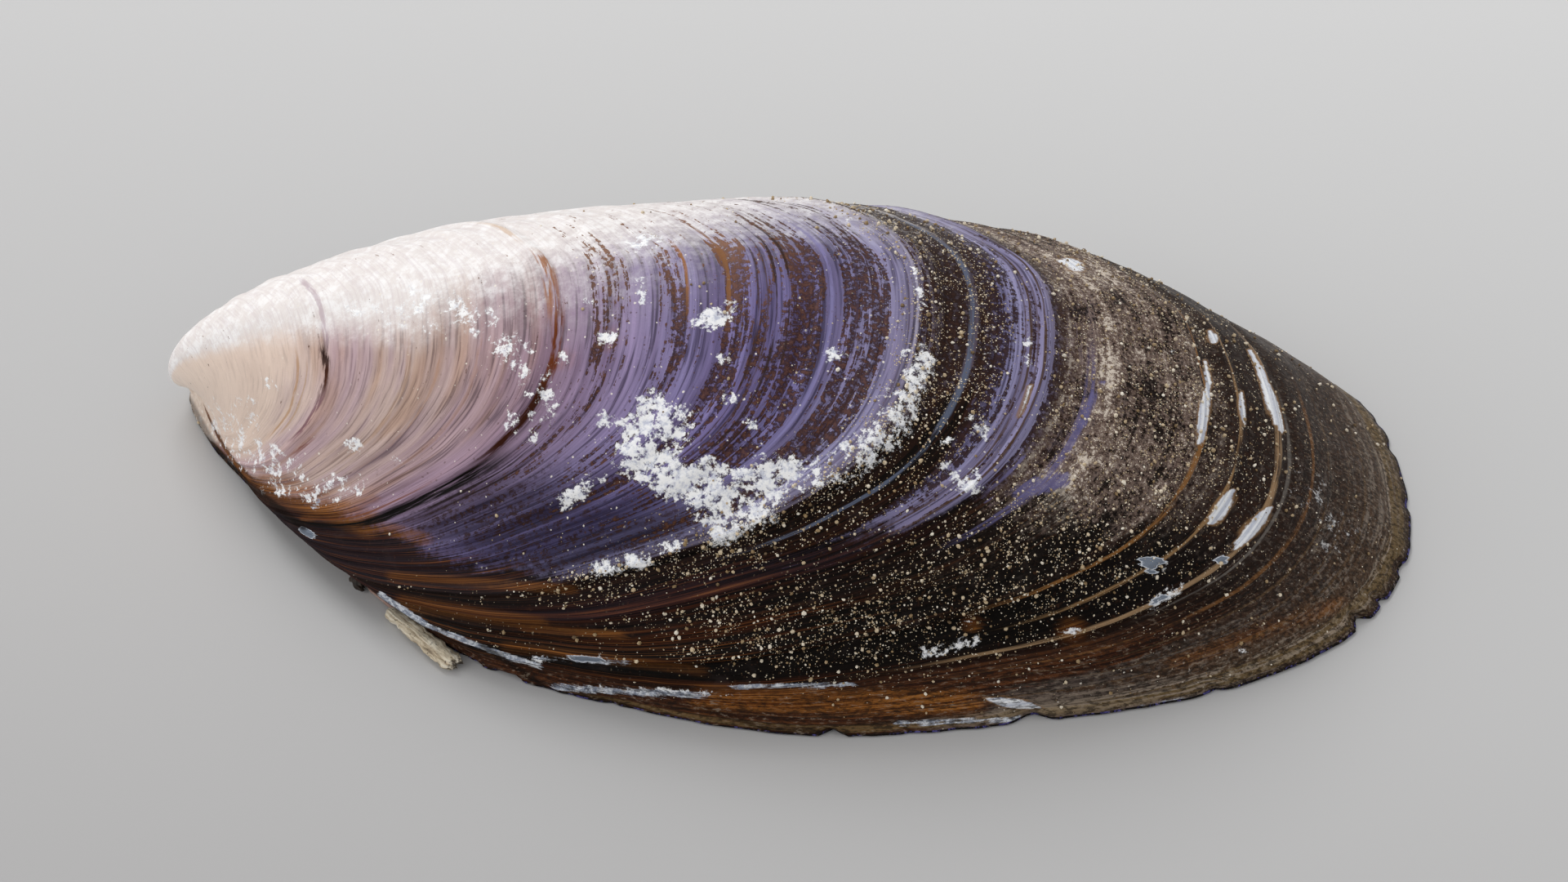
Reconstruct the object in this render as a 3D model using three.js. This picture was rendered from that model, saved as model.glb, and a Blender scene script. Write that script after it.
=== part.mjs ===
import * as THREE from 'three';

// One valve of a mussel shell, lying on its rim with the hollow side down.
// Millimetres, +Z up. +X runs along the shell from the beak to the rounded rear end, and the hinge edge
// is on the -Y side. The origin is on the rim plane, under the middle of the whole valve.

// Outline of the present edge, seen from above and measured from the beak. It runs from the front tip along
// the hinge edge, round the rear end and back along the lower edge of the living animal.
const EDGE_OUTLINE = [
  [-0.2, 0.8],
  [1.3, -3.8],
  [8.0, -11.8],
  [17.5, -20.9],
  [23.3, -23.5],
  [35.9, -26.3],
  [47.2, -25.4],
  [58.6, -22.9],
  [66.4, -18.1],
  [69.6, -11.6],
  [68.7, -1.9],
  [65.2, 2.5],
  [58.5, 7.1],
  [42.4, 10.1],
  [28.1, 8.1],
  [14.0, 5.1],
  [3.0, 2.2],
];

// How the valve grew. Every old edge is a smaller copy of the present one, swung up about the hinge axis.
// A ring's share is its size against the present edge, from near 0 at the beak to 1 at the edge.
const HINGE_BEARING = THREE.MathUtils.degToRad(-74.2);
const HINGE_TILT = THREE.MathUtils.degToRad(12.8);
const SWING_RATE = 1.209;
const SWING_POWER = 0.15;
const SWING_EASE = 0.807;
const YOUNG_TWIST = THREE.MathUtils.degToRad(-31.6);
const YOUNG_WIDENING = 0.222;
const BEAK_RISE = 1.35;

// The young rings are tucked in a little along the hinge edge, and the youngest reach forward over the beak.
// In millimetres at most. The tuck is greatest at TUCK_PLACE on the outline, the reach at REACH_SHARE.
const HINGE_TUCK = 0.76;
const TUCK_PLACE = 0.127;
const TUCK_SPREAD = 0.086;
const BEAK_REACH = 0.39;
const REACH_SHARE = 1 / 9;

// Growth checks: the share of each line's ring, and the height of the low ledge that ends there.
const GROWTH_LINES = [
  { share: 0.235, ledge: 0.1 },
  { share: 0.41, ledge: 0.2 },
  { share: 0.658, ledge: 0.28 },
  { share: 0.73, ledge: 0.18 },
  { share: 0.838, ledge: 0.24 },
  { share: 0.8645, ledge: 0.16 },
  { share: 0.896, ledge: 0.24 },
];
const LEDGE_RUN = 0.035;
const LEDGE_CREST = 0.004;
const LEDGE_FOOT = 0.007;

// Ledges fade out where the rings crowd together in front of the beak.
// Both values are millimetres of shell per unit of share.
const CROWDED_RINGS = 5;
const OPEN_RINGS = 22;

// Nicks in the edge: place along the outline from 0 to 1, and about the depth and half width in millimetres.
const EDGE_NICKS = [
  { place: 0.113, depth: 0.5, half: 0.8 },
  { place: 0.197, depth: 0.8, half: 1.6 },
  { place: 0.3, depth: 0.5, half: 0.7 },
  { place: 0.356, depth: 0.6, half: 1.1 },
  { place: 0.47, depth: 0.7, half: 0.9 },
  { place: 0.486, depth: 0.5, half: 0.6 },
  { place: 0.624, depth: 0.6, half: 1.0 },
];
const NICK_REACH = 0.02;

// Wall: width of the flat land under the edge, and thickness at the crown. The hollow is the outside drawn in
// towards a point of the rim plane by these amounts.
const LAND_WIDTH = 0.9;
const CROWN_WALL = 1.2;
const HOLLOW_CENTRE = new THREE.Vector3(34.5, -8.0, 0);

// How finely the valve is faceted. An even station closer to a nick's than this share of a step is left out.
const STATIONS_PER_SPAN = 4.5;
const CLEAR_OF_NICK = 0.3;
const PLAIN_RINGS = [
  0.015, 0.035, 0.06, 0.095, 0.14, 0.19, 0.27, 0.32, 0.37, 0.45, 0.5, 0.55, 0.6, 0.635, 0.69, 0.77, 0.81,
  0.93, 0.96, 0.985, 1,
];
const HOLLOW_RINGS = [1, 0.96, 0.9, 0.82, 0.72, 0.6, 0.48, 0.36, 0.25, 0.16, 0.09, 0.04];

// The torn strip of hinge ligament that lies along the hinge edge.
const STRIP_START = 0.144;
const STRIP_END = 0.173;
const STRIP_STATIONS = 12;
const STRIP_SIDES = 10;
const STRIP_WIDTH = 0.95;
const STRIP_THICKNESS = 0.55;
const STRIP_NARROWING = 0.45;
const STRIP_FLARE = 0.45;
const STRIP_GAP = 0.3;
const STRIP_CLEARANCE = 0.02;
const STRIP_RISE = 0.25;

const VALVE_FINISH = { color: 0x5b4c5a, roughness: 0.42, metalness: 0 };
const LIGAMENT_FINISH = { color: 0xc6b896, roughness: 0.7, metalness: 0 };

const UP = new THREE.Vector3(0, 0, 1);
const hingeAxis = new THREE.Vector3(
  Math.cos(HINGE_BEARING) * Math.cos(HINGE_TILT),
  Math.sin(HINGE_BEARING) * Math.cos(HINGE_TILT),
  Math.sin(HINGE_TILT),
);
const edgeCurve = new THREE.CatmullRomCurve3(
  EDGE_OUTLINE.map(([x, y]) => new THREE.Vector3(x, y, 0)),
  true,
);

// Unit vector in the rim plane that points away from the shell at a place on the outline.
function awayFromEdge(place) {
  return edgeCurve.getTangent(place).cross(UP).normalize();
}

// Angle by which the ring of a share has swung up about the hinge axis.
function swing(share) {
  const youth = 1 - share;
  return (SWING_RATE * (1 - share ** SWING_POWER)) / SWING_POWER - SWING_EASE * youth * youth;
}

// How much of the tuck a point has: none at the beak and at the edge, all halfway between them at TUCK_PLACE.
function tuckPart(share, place) {
  const off = place - TUCK_PLACE - Math.round(place - TUCK_PLACE);
  return 4 * share * (1 - share) * Math.exp(-((off / TUCK_SPREAD) ** 2));
}

// How much of the beak's reach a ring has: none at the pole and at the edge, all at REACH_SHARE.
function reachPart(share) {
  return (share / REACH_SHARE) * ((1 - share) / (1 - REACH_SHARE)) ** (1 / REACH_SHARE - 1);
}

// Point of the ring of a share that grew in line with a place on the present edge, at edgePoint.
function ringPoint(share, place, edgePoint) {
  const youth = 1 - share;
  return edgePoint
    .clone()
    .multiply(new THREE.Vector3(1, 1 + YOUNG_WIDENING * youth, 1))
    .applyAxisAngle(UP, YOUNG_TWIST * youth)
    .applyAxisAngle(hingeAxis, swing(share))
    .multiplyScalar(share)
    .addScaledVector(UP, BEAK_RISE * youth)
    .add(new THREE.Vector3(-BEAK_REACH * reachPart(share), HINGE_TUCK * tuckPart(share, place), 0));
}

// Height of the ledges at a share: each swells slowly towards its line and drops off short behind it.
function ledgeHeight(share) {
  let height = 0;
  for (const { share: line, ledge } of GROWTH_LINES) {
    if (share <= line) height += ledge * Math.exp((share - line) / LEDGE_RUN);
  }
  return height;
}

// Places round the outline, even along each span of the curve, with one at each nick and at its two sides.
function edgePlaces() {
  const count = Math.round(EDGE_OUTLINE.length * STATIONS_PER_SPAN);
  const even = Array.from({ length: count }, (_, i) => i / count);
  const length = edgeCurve.getLength();
  const nicks = EDGE_NICKS.flatMap(({ place, half }) => [
    place - half / length,
    place,
    place + half / length,
  ]);
  const clear = even.filter((p) => nicks.every((n) => Math.abs(p - n) > CLEAR_OF_NICK / count));
  return [...clear, ...nicks].sort((a, b) => a - b);
}

// Depth of the nicks at a place on the outline.
function nickDepth(place) {
  const length = edgeCurve.getLength();
  let depth = 0;
  for (const nick of EDGE_NICKS) {
    const off = (Math.abs(place - nick.place) * length) / nick.half;
    if (off < 1) depth = Math.max(depth, nick.depth * (1 - off));
  }
  return depth;
}

// Rows of points for a list of shares, one point for each place on the outline.
function ringRows(shares, places) {
  return shares.map((share) => {
    const fresh = THREE.MathUtils.smoothstep(share, 1 - NICK_REACH, 1);
    return places.map((place) => {
      const edgePoint = edgeCurve.getPoint(place);
      edgePoint.addScaledVector(awayFromEdge(place), -fresh * nickDepth(place));
      return ringPoint(share, place, edgePoint);
    });
  });
}

// Lifts the rows of the outside by the ledges, along the surface's own normals.
function raiseLedges(rows, shares) {
  const last = rows.length - 1;
  const count = rows[0].length;
  return rows.map((row, i) => {
    const inner = Math.max(i - 1, 0);
    const outer = Math.min(i + 1, last);
    return row.map((point, j) => {
      const along = rows[outer][j].clone().sub(rows[inner][j]);
      const around = row[(j + 1) % count].clone().sub(row[(j + count - 1) % count]);
      const spread = along.length() / (shares[outer] - shares[inner]);
      const fade = THREE.MathUtils.smoothstep(spread, CROWDED_RINGS, OPEN_RINGS);
      const normal = along.cross(around).normalize();
      return point.clone().addScaledVector(normal, fade * ledgeHeight(shares[i]));
    });
  });
}

// Draws the rows of the smooth outside in to make the hollow.
function drawIn(rows) {
  const size = new THREE.Box3().setFromPoints(rows.flat()).getSize(new THREE.Vector3());
  const scale = new THREE.Vector3(
    1 - (2 * LAND_WIDTH) / size.x,
    1 - (2 * LAND_WIDTH) / size.y,
    1 - CROWN_WALL / size.z,
  );
  return rows.map((row) => row.map((p) => p.clone().sub(HOLLOW_CENTRE).multiply(scale).add(HOLLOW_CENTRE)));
}

// Closed body from a first pole, rows of points round it, and a last pole. The rows run away from the first
// pole, and each row runs so that along the rows crossed with around the row points outwards.
function closedBody(firstPole, rows, lastPole) {
  const count = rows[0].length;
  const points = [firstPole, ...rows.flat(), lastPole];
  const at = (i, j) => 1 + i * count + (j % count);
  const lastIndex = points.length - 1;
  const lastRow = rows.length - 1;
  const triangles = [];
  for (let j = 0; j < count; j += 1) {
    triangles.push(0, at(0, j), at(0, j + 1));
    triangles.push(at(lastRow, j), lastIndex, at(lastRow, j + 1));
  }
  for (let i = 0; i < lastRow; i += 1) {
    for (let j = 0; j < count; j += 1) {
      triangles.push(at(i, j), at(i + 1, j), at(i + 1, j + 1));
      triangles.push(at(i, j), at(i + 1, j + 1), at(i, j + 1));
    }
  }
  const geometry = new THREE.BufferGeometry().setFromPoints(points);
  geometry.setIndex(triangles);
  geometry.computeVertexNormals();
  return geometry;
}

// The valve: ledged outside, flat land at the edge, smooth hollow.
function makeValve() {
  const places = edgePlaces();
  const lineRings = GROWTH_LINES.flatMap(({ share }) => [share - LEDGE_CREST, share, share + LEDGE_FOOT]);
  const shares = [...PLAIN_RINGS, ...lineRings].sort((a, b) => a - b);
  const beak = new THREE.Vector3(0, 0, BEAK_RISE);
  const outside = raiseLedges(ringRows(shares, places), shares);
  const hollow = drawIn([...ringRows(HOLLOW_RINGS, places), [beak]]);
  const [hollowBeak] = hollow.pop();
  return closedBody(beak, [...outside, ...hollow], hollowBeak);
}

// The ligament strip: flat oval sections that follow the hinge edge, narrow in front and torn off behind.
function makeLigament() {
  const rows = [];
  for (let i = 0; i <= STRIP_STATIONS; i += 1) {
    const part = i / STRIP_STATIONS;
    const place = THREE.MathUtils.lerp(STRIP_START, STRIP_END, part);
    const away = awayFromEdge(place);
    const halfWidth = 0.5 * STRIP_WIDTH * (1 - STRIP_NARROWING * (1 - part) ** 2);
    const halfThickness = 0.5 * STRIP_THICKNESS;
    const out = STRIP_GAP + halfWidth + STRIP_FLARE * part * part;
    const rise = STRIP_CLEARANCE + halfThickness + STRIP_RISE * Math.sin(Math.PI * part) ** 2;
    const centre = edgeCurve.getPoint(place).addScaledVector(away, out).addScaledVector(UP, rise);
    rows.push(
      Array.from({ length: STRIP_SIDES }, (_, k) => {
        const angle = (2 * Math.PI * k) / STRIP_SIDES;
        return centre
          .clone()
          .addScaledVector(away, halfWidth * Math.cos(angle))
          .addScaledVector(UP, halfThickness * Math.sin(angle));
      }),
    );
  }
  const middle = (row) => row.reduce((sum, p) => sum.add(p), new THREE.Vector3()).divideScalar(row.length);
  return closedBody(middle(rows[0]), rows, middle(rows[STRIP_STATIONS]));
}

function namedMesh(name, geometry, finish) {
  const mesh = new THREE.Mesh(geometry, new THREE.MeshStandardMaterial(finish));
  mesh.name = name;
  return mesh;
}

const valve = namedMesh('valve', makeValve(), VALVE_FINISH);
const ligament = namedMesh('ligament', makeLigament(), LIGAMENT_FINISH);

// The shell is built from its beak, then moved so that the origin is under the middle of the valve.
const shell = new THREE.Group();
shell.add(valve, ligament);
const middle = new THREE.Box3().setFromObject(shell).getCenter(new THREE.Vector3());
valve.position.set(-middle.x, -middle.y, 0);
ligament.position.copy(valve.position);

export default shell;
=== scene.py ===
"""One mussel valve lying hollow side down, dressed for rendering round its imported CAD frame.

The outside, the rim and the hollow are one closed surface, worked out from the same growth form as the CAD
valve. A torn strip of ligament lies along the hinge edge, and grains of sand cling to the outside.
Shapes are worked out in millimetres from the beak, and put into the frame in metres.
"""

import logging
from dataclasses import dataclass, field
from enum import Enum
from math import pi, radians, tan
from typing import Optional, Sequence, Union

import bpy
import numpy as np
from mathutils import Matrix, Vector

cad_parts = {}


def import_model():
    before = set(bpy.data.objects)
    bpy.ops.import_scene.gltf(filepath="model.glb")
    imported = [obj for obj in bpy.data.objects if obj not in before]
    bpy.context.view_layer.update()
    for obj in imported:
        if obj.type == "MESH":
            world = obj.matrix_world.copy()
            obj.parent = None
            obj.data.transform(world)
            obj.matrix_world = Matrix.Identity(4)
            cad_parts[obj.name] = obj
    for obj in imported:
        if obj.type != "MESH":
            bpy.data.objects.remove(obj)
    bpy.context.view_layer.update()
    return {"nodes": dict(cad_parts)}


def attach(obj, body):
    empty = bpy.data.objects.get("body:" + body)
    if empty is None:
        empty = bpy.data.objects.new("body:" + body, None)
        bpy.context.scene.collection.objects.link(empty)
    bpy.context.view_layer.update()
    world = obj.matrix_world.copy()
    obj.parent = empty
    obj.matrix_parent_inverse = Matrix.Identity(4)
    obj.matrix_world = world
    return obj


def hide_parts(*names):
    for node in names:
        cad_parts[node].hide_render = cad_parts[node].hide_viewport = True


Array = np.ndarray
Socket = bpy.types.NodeSocket
Feed = Union[Socket, float, tuple]
# Colour codes or levels, each with its position first.
Stops = Sequence[tuple[float, str]]
Levels = Sequence[tuple[float, float]]
Pair = tuple[float, float]
# Where a smooth step starts and ends.
Span = tuple[float, float]
Triple = tuple[float, float, float]
# Where a smooth step starts and ends, and the floor and the top that it maps to.
FullStep = tuple[float, float, float, float]
# The strength and the colour code of a layer.
Tint = tuple[float, str]

LOG = logging.getLogger("mussel_shell")
MM = 0.001
BODY = "root"
BEAK_IN_FRAME = np.array([-34.407, 8.130, 0.0])
AHEAD = np.array([1.0, 0.0, 0.0])
ACROSS = np.array([0.0, 1.0, 0.0])
UP = np.array([0.0, 0.0, 1.0])


def smooth_step(low: float, high: float, value: Array) -> Array:
    """Gives 0 below low and 1 above high, with the curve 3t^2 - 2t^3 between them.

    Args:
        low: value where the step starts, which may be above high for a falling step.
        high: value where the step ends.
        value: values to map.

    Returns:
        The step at each value.
    """
    t = np.clip((value - low) / (high - low), 0.0, 1.0)
    return t * t * (3.0 - 2.0 * t)


def window(rise: Span, fall: Span, value: Array) -> Array:
    """Gives 1 between two smooth steps, one that rises over a span and one that falls over another."""
    return smooth_step(*rise, value) * smooth_step(*fall, value)


def read_levels(value: Array, stops: Levels) -> Array:
    """Maps values through straight lines between stops of a position and a level."""
    return np.interp(value, *zip(*stops))


def unit(vectors: Array) -> Array:
    """Gives vectors of length 1 in the same directions, along the last axis."""
    return vectors / np.maximum(np.linalg.norm(vectors, axis=-1, keepdims=True), 1e-12)


def turned(points: Array, axis: Array, angle: Array) -> Array:
    """Turns points about an axis through the beak, by Rodrigues' formula.

    A point p becomes p cos(a) + (axis x p) sin(a) + axis (axis . p) (1 - cos(a)).

    Args:
        points: points along the last axis.
        axis: unit vector of the axis.
        angle: angle of each point, with a last axis of length 1.

    Returns:
        The turned points.
    """
    across = np.cross(np.broadcast_to(axis, points.shape), points)
    along = (points @ axis)[..., None] * axis
    return points * np.cos(angle) + across * np.sin(angle) + along * (1.0 - np.cos(angle))


def closed_curve(corners: Array, place: Array) -> Array:
    """Points of a closed centripetal Catmull-Rom curve.

    Each span is the cubic whose end slopes come from the corners on both sides, weighted by the square roots
    of the distances between them.

    Args:
        corners: corner points, one row each.
        place: places round the curve, 0 to 1.

    Returns:
        One point for each place.
    """
    count = len(corners)
    along = np.mod(place, 1.0) * count
    span = np.floor(along).astype(int)
    t = (along - span)[:, None]
    before, start, end, after = (corners[(span + k) % count] for k in (-1, 0, 1, 2))
    gaps = [
        np.sqrt(np.linalg.norm(b - a, axis=1))[:, None]
        for a, b in ((before, start), (start, end), (end, after))
    ]
    slope_in = (start - before) / gaps[0] - (end - before) / (gaps[0] + gaps[1]) + (end - start) / gaps[1]
    slope_out = (end - start) / gaps[1] - (after - start) / (gaps[1] + gaps[2]) + (after - end) / gaps[2]
    slope_in, slope_out = slope_in * gaps[1], slope_out * gaps[1]
    bend = -3.0 * start + 3.0 * end - 2.0 * slope_in - slope_out
    twist = 2.0 * start - 2.0 * end + slope_in + slope_out
    return start + slope_in * t + bend * t**2 + twist * t**3


def crowded_steps(start: float, end: float, count: int, density: Array, where: Array) -> Array:
    """Gives values from start to end that crowd where the density is high.

    The running sum of the density is cut into equal parts.

    Args:
        start: first value.
        end: last value.
        count: how many values.
        density: density at the points of where.
        where: increasing points from start to end.

    Returns:
        The values, with start and end among them.
    """
    total = np.concatenate([[0.0], np.cumsum(0.5 * (density[1:] + density[:-1]) * np.diff(where))])
    return np.interp(np.linspace(0.0, total[-1], count), total, where)


@dataclass(frozen=True)
class WaveNoise:
    """Smooth seeded noise: a sum of sine waves with random directions, lengths and phases.

    Its value is the sum of sin(wave . point + phase), scaled so that it mostly lies between -1 and 1.
    """

    seed: int
    wavelength: float
    waves: int = 20
    axes: int = 3
    rate_span: Span = (0.6, 1.6)

    def __call__(self, points: Array) -> Array:
        """Gives the noise at points whose last axis holds the coordinates."""
        rng = np.random.default_rng(self.seed)
        direction = unit(rng.normal(size=(self.waves, self.axes)))
        rate = 2.0 * pi / self.wavelength * rng.uniform(*self.rate_span, self.waves)
        phase = rng.uniform(0.0, 2.0 * pi, self.waves)
        total = np.zeros(points.shape[:-1])
        for wave, shift in zip(direction * rate[:, None], phase):
            total += np.sin(points @ wave + shift)
        return total / np.sqrt(self.waves)


def add_object(name: str, data: bpy.types.ID) -> bpy.types.Object:
    """Puts an object that shows the data into the scene."""
    made = bpy.data.objects.new(name, data)
    bpy.context.scene.collection.objects.link(made)
    return made


def linear(code: str) -> tuple[float, float, float, float]:
    """Turns a colour code such as c8b49a into the linear colour that shaders use."""
    parts = np.array([int(code[i : i + 2], 16) for i in (0, 2, 4)]) / 255.0
    low, high = parts / 12.92, ((parts + 0.055) / 1.055) ** 2.4
    return (*np.where(parts <= 0.04045, low, high).tolist(), 1.0)


@dataclass(frozen=True)
class Coat:
    """A thin coat of colour: the value where it starts, the one where it is full, strength and code."""

    start: float
    full: float
    strength: float
    code: str
    mode: str = "MIX"


@dataclass(frozen=True)
class TwoTone:
    """Two colour codes that a value blends, from the first at its start to the second at its end."""

    start: float
    end: float
    first: str
    second: str


class Painter:
    """Adds nodes to one material and links them, so that a finish reads as a list of layers."""

    def __init__(self, name: str) -> None:
        """Makes an empty material of that name."""
        self.material = bpy.data.materials.new(name)
        self.material.use_nodes = True
        self.tree = self.material.node_tree
        self.tree.nodes.clear()

    def feed(self, socket: Socket, value: Feed) -> None:
        """Links a socket to the input, or sets the input to a plain value."""
        if isinstance(value, bpy.types.NodeSocket):
            self.tree.links.new(value, socket)
        else:
            socket.default_value = value

    def add(
        self,
        kind: str,
        inputs: Optional[dict[Union[str, int], Feed]] = None,
        **settings: object,
    ) -> bpy.types.Node:
        """Adds one node.

        Args:
            kind: the node's type without its common prefix.
            inputs: values or links of its inputs, by name or number.
            settings: the node's own options.

        Returns:
            The node.
        """
        node = self.tree.nodes.new("ShaderNode" + kind)
        for name, value in settings.items():
            setattr(node, name, value)
        for name, value in (inputs or {}).items():
            self.feed(node.inputs[name], value)
        return node

    def maths(self, operation: str, a: Feed, b: Feed = 0.0) -> Socket:
        """Works out one sum, product or other operation of two values."""
        return self.add("Math", {0: a, 1: b}, operation=operation).outputs[0]

    def times(self, first: Feed, *others: Feed) -> Socket:
        """Multiplies values together."""
        for other in others:
            first = self.maths("MULTIPLY", first, other)
        return first

    def plus(self, first: Feed, *others: Feed) -> Socket:
        """Adds values together."""
        for other in others:
            first = self.maths("ADD", first, other)
        return first

    def step(self, value: Feed, low: Feed, high: Feed, floor: float = 0.0, top: float = 1.0) -> Socket:
        """Maps a value smoothly from floor at low to top at high."""
        inputs = {"Value": value, "From Min": low, "From Max": high, "To Min": floor, "To Max": top}
        return self.add("MapRange", inputs, interpolation_type="SMOOTHSTEP").outputs[0]

    def growth(self) -> tuple[Socket, Socket]:
        """Reads the growth map: the place round the outline and the age."""
        split = self.add("SeparateXYZ", {0: self.add("UVMap", uv_map="growth").outputs[0]})
        return split.outputs[0], split.outputs[1]

    def attribute(self, name: str) -> Socket:
        """Reads a mask that is stored on the mesh."""
        return self.add("Attribute", attribute_name=name).outputs["Fac"]

    def place(self, scale: Sequence[float] = (1.0, 1.0, 1.0)) -> Socket:
        """Gives object coordinates in millimetres, times a scale along each axis."""
        coordinates = self.add("TexCoord").outputs["Object"]
        factor = tuple(s / MM for s in scale)
        return self.add("VectorMath", {0: coordinates, 1: factor}, operation="MULTIPLY").outputs[0]

    def noise(self, vector: Socket, scale: float, detail: float = 3.0, rough: float = 0.55) -> Socket:
        """Gives cloudy noise from 0 to 1 at the scale."""
        inputs = {"Vector": vector, "Scale": scale, "Detail": detail, "Roughness": rough}
        return self.add("TexNoise", inputs).outputs["Fac"]

    def cells(self, vector: Socket, scale: float) -> bpy.types.Node:
        """Gives a cell pattern: the distance to a cell's middle, and the cell's own colour."""
        return self.add("TexVoronoi", {"Vector": vector, "Scale": scale})

    def graded(self, value: Feed, places: Sequence[float], colours: Sequence[tuple]) -> Socket:
        """Maps a value through a ramp with these colours at these places."""
        node = self.add("ValToRGB", {"Fac": value})
        elements = node.color_ramp.elements
        while len(elements) < len(places):
            elements.new(1.0)
        for element, position, colour in zip(elements, places, colours):
            element.position = position
            element.color = colour
        return node.outputs["Color"]

    def ramp(self, value: Feed, stops: Stops) -> Socket:
        """Colours a value by stops of a position and a colour code."""
        return self.graded(value, [stop[0] for stop in stops], [linear(stop[1]) for stop in stops])

    def levels(self, value: Feed, stops: Levels) -> Socket:
        """Maps a value through straight lines between stops of a position and a level.

        The span of the stops fills the whole ramp, so that close stops stay sharp.
        """
        low, high = stops[0][0], stops[-1][0]
        inside = self.add("MapRange", {"Value": value, "From Min": low, "From Max": high}).outputs[0]
        places = [(stop[0] - low) / (high - low) for stop in stops]
        return self.graded(inside, places, [(stop[1], stop[1], stop[1], 1.0) for stop in stops])

    def blend(self, amount: Feed, under: Feed, over: Feed, mode: str = "MIX") -> Socket:
        """Lays one colour over another by an amount."""
        node = self.add("Mix", data_type="RGBA", blend_type=mode)
        for number, value in ((0, amount), (6, under), (7, over)):
            self.feed(node.inputs[number], linear(value) if isinstance(value, str) else value)
        return node.outputs[2]

    def coat(self, colour: Feed, coat: Coat, value: Feed, *masks: Feed) -> Socket:
        """Lays a coat over a colour, as far as the value's step and the masks let it."""
        amount = self.times(self.step(value, coat.start, coat.full), *masks, coat.strength)
        return self.blend(amount, colour, coat.code, coat.mode)

    def two_tone(self, tones: TwoTone, value: Feed) -> Socket:
        """Gives the two tones blended by a value."""
        return self.blend(self.step(value, tones.start, tones.end), tones.first, tones.second)

    def weighted(self, start: Feed, *pairs: tuple[Feed, float]) -> Socket:
        """Adds values to a start, each times its weight."""
        return self.plus(start, *(self.times(value, weight) for value, weight in pairs))

    def sway(self, start: Feed, *pairs: tuple[Feed, float]) -> Socket:
        """Adds noises to a value, each by its weight and less its middle, so that they sway it both ways."""
        return self.weighted(self.plus(start, -0.5 * sum(weight for _, weight in pairs)), *pairs)

    def bump(self, height: Feed, distance: float, strength: float) -> Socket:
        """Gives the surface's normal with a relief of that height in millimetres."""
        inputs = {"Height": height, "Distance": distance * MM, "Strength": strength}
        return self.add("Bump", inputs).outputs[0]

    def finish(self, inputs: dict[str, Feed]) -> bpy.types.Material:
        """Adds the shader with its inputs and gives the material."""
        shader = self.add("BsdfPrincipled", inputs)
        output = self.add("OutputMaterial")
        self.tree.links.new(shader.outputs[0], output.inputs[0])
        return self.material


@dataclass(frozen=True)
class GrowthLine:
    """One growth check: the share of its ring, the height of its ledge, and how it strays from that ring.

    The lean is how much the line's share changes with the place on the outline. The bend is how much it
    changes with the square of the place, on the upper side only.
    """

    share: float
    ledge: float
    lean: float
    bend: float = 0.0


GROWTH_LINES = (
    GrowthLine(0.235, 0.10, -0.05),
    GrowthLine(0.41, 0.20, -0.07),
    GrowthLine(0.658, 0.28, 0.0, 1.1),
    GrowthLine(0.73, 0.18, 0.0, 1.3),
    GrowthLine(0.838, 0.24, -0.03),
    GrowthLine(0.8645, 0.16, -0.06),
    GrowthLine(0.896, 0.24, -0.06),
)


@dataclass(frozen=True)
class Nick:
    """A nick in the edge: its place on the outline, its depth and its half width in millimetres."""

    place: float
    depth: float
    half: float


EDGE_NICKS = (
    Nick(0.113, 0.5, 0.8),
    Nick(0.197, 0.8, 1.6),
    Nick(0.3, 0.5, 0.7),
    Nick(0.356, 0.6, 1.1),
    Nick(0.47, 0.7, 0.9),
    Nick(0.486, 0.5, 0.6),
    Nick(0.624, 0.6, 1.0),
)


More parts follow.
